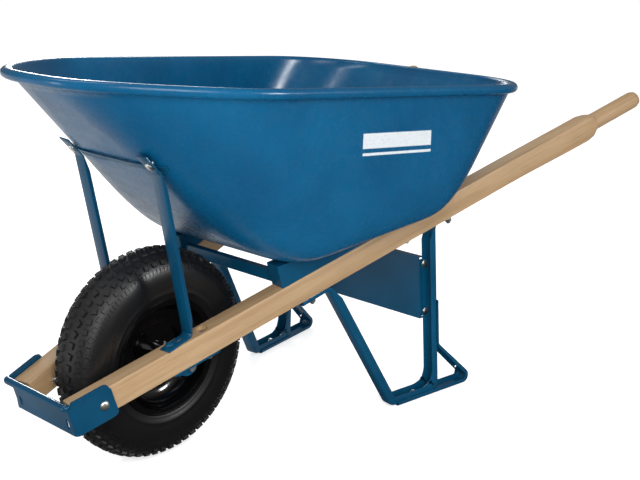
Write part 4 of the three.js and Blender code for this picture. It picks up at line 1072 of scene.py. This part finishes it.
studio = {
    "cameraAt": (-1231, -1575, 1016), "yaw": 47.08, "pitch": 16.79, "lens": 63.5,
    "floor": "#fafafa", "sky": 1.0, "fill": 0.5, "mirror": 0.2,
    "glow": 0.62, "card": (-0.1, 0.7),
    "lamps": [  # name, place, aim, size, power, whether it shows in reflections only
        ("keySoftbox", (-2.0, -2.4, 1.9), (-0.1, 0, 0.45), (1.6, 1.6), 64, False),
        ("cornerStrip", (-2.9, 0.9, 0.5), (-0.5, -0.2, 0.55), (0.3, 1.3), 14, True),
        ("backSoftbox", (1.4, 2.4, 2.2), (0, 0, 0.4), (1.2, 1.2), 26, False),
        ("windowStrip", (1.6, 3.2, 1.3), (0.3, 0.2, 0.65), (0.35, 2.2), 45, True),
        ("overheadStrip", (-1.2, 0.6, 2.6), (-0.5, 0, 0.6), (0.25, 1.6), 16, True),
        ("rimWindow", (0.7, -2.5, 1.3), (-0.47, 0, 0.2), (0.55, 0.55), 40, True),
    ],
}
floorMesh = makeMesh("studioFloor", [(-9, -9, -0.0005), (9, -9, -0.0005), (9, 9, -0.0005), (-9, 9, -0.0005)],
                     [(0, 1, 2, 3)])
floorMaterial, floorNodes, floorPlace = newMaterial("paleStudioFloor")


def paintFloor(add, place):
    # Matt pale paper that glows a little to the lens, and reflects as a bright card on the far side only.
    rays = add("ShaderNodeLightPath").outputs
    at = add("ShaderNodeSeparateXYZ", {0: place}).outputs
    near, far = studio["card"]
    card = add("ShaderNodeMapRange", {
        "Value": at[1], "From Min": near, "From Max": far, "To Min": 0.03, "To Max": 0.85})
    glow = add("ShaderNodeMath", {
        0: rays["Is Camera Ray"], 1: studio["glow"]}, operation="MULTIPLY")
    paper = add("ShaderNodeBsdfPrincipled", {
        "Base Color": linearColour(studio["floor"]), "Roughness": 0.95, "Specular IOR Level": 0.0,
        "Emission Color": (1, 1, 1, 1), "Emission Strength": glow})
    sheen = add("ShaderNodeEmission", {"Color": (1, 1, 1, 1), "Strength": card})
    both = add("ShaderNodeMixShader", {0: rays["Is Glossy Ray"], 1: paper, 2: sheen})
    finishShader(add, both)


paintFloor(floorNodes, floorPlace)
floor = showMesh("studioFloor", floorMesh, floorMaterial)

world = bpy.data.worlds.new("paleRoom")
scene.world = world
world.use_nodes = True
world.node_tree.nodes.clear()
add = nodesIn(world.node_tree)
rays = add("ShaderNodeLightPath").outputs
dimmer = add("ShaderNodeMapRange", {
    "Value": rays["Is Glossy Ray"], "To Min": studio["fill"], "To Max": studio["mirror"]})
strength = add("ShaderNodeMix", {0: rays["Is Camera Ray"], 2: dimmer, 3: studio["sky"]})
sky = add("ShaderNodeBackground", {"Color": (1, 1, 1, 1), "Strength": strength})
add("ShaderNodeOutputWorld", {"Surface": sky})


def softLight(name, at, aim, size, power, glossOnly):
    data = bpy.data.lights.new(name, "AREA")
    data.shape = "RECTANGLE"
    data.size, data.size_y = size
    data.energy = power
    lamp = bpy.data.objects.new(name, data)
    lamp.location = at
    lamp.visible_diffuse = not glossOnly
    lamp.rotation_mode = "QUATERNION"
    lamp.rotation_quaternion = (Vector(aim) - Vector(at)).to_track_quat("-Z", "Y")
    scene.collection.objects.link(lamp)


for lamp in studio["lamps"]:
    softLight(*lamp)

lens = bpy.data.cameras.new("studioCamera")
lens.lens = studio["lens"]
lens.sensor_width = 36
lens.clip_start, lens.clip_end = 0.05, 60
camera = bpy.data.objects.new("studioCamera", lens)
camera.location = fromAxle(*studio["cameraAt"])
camera.rotation_euler = (math.radians(90 - studio["pitch"]), 0, math.radians(-studio["yaw"]))
scene.collection.objects.link(camera)
scene.camera = camera
scene.view_settings.view_transform = "Standard"
scene.view_settings.look = "None"
print("studio ready")
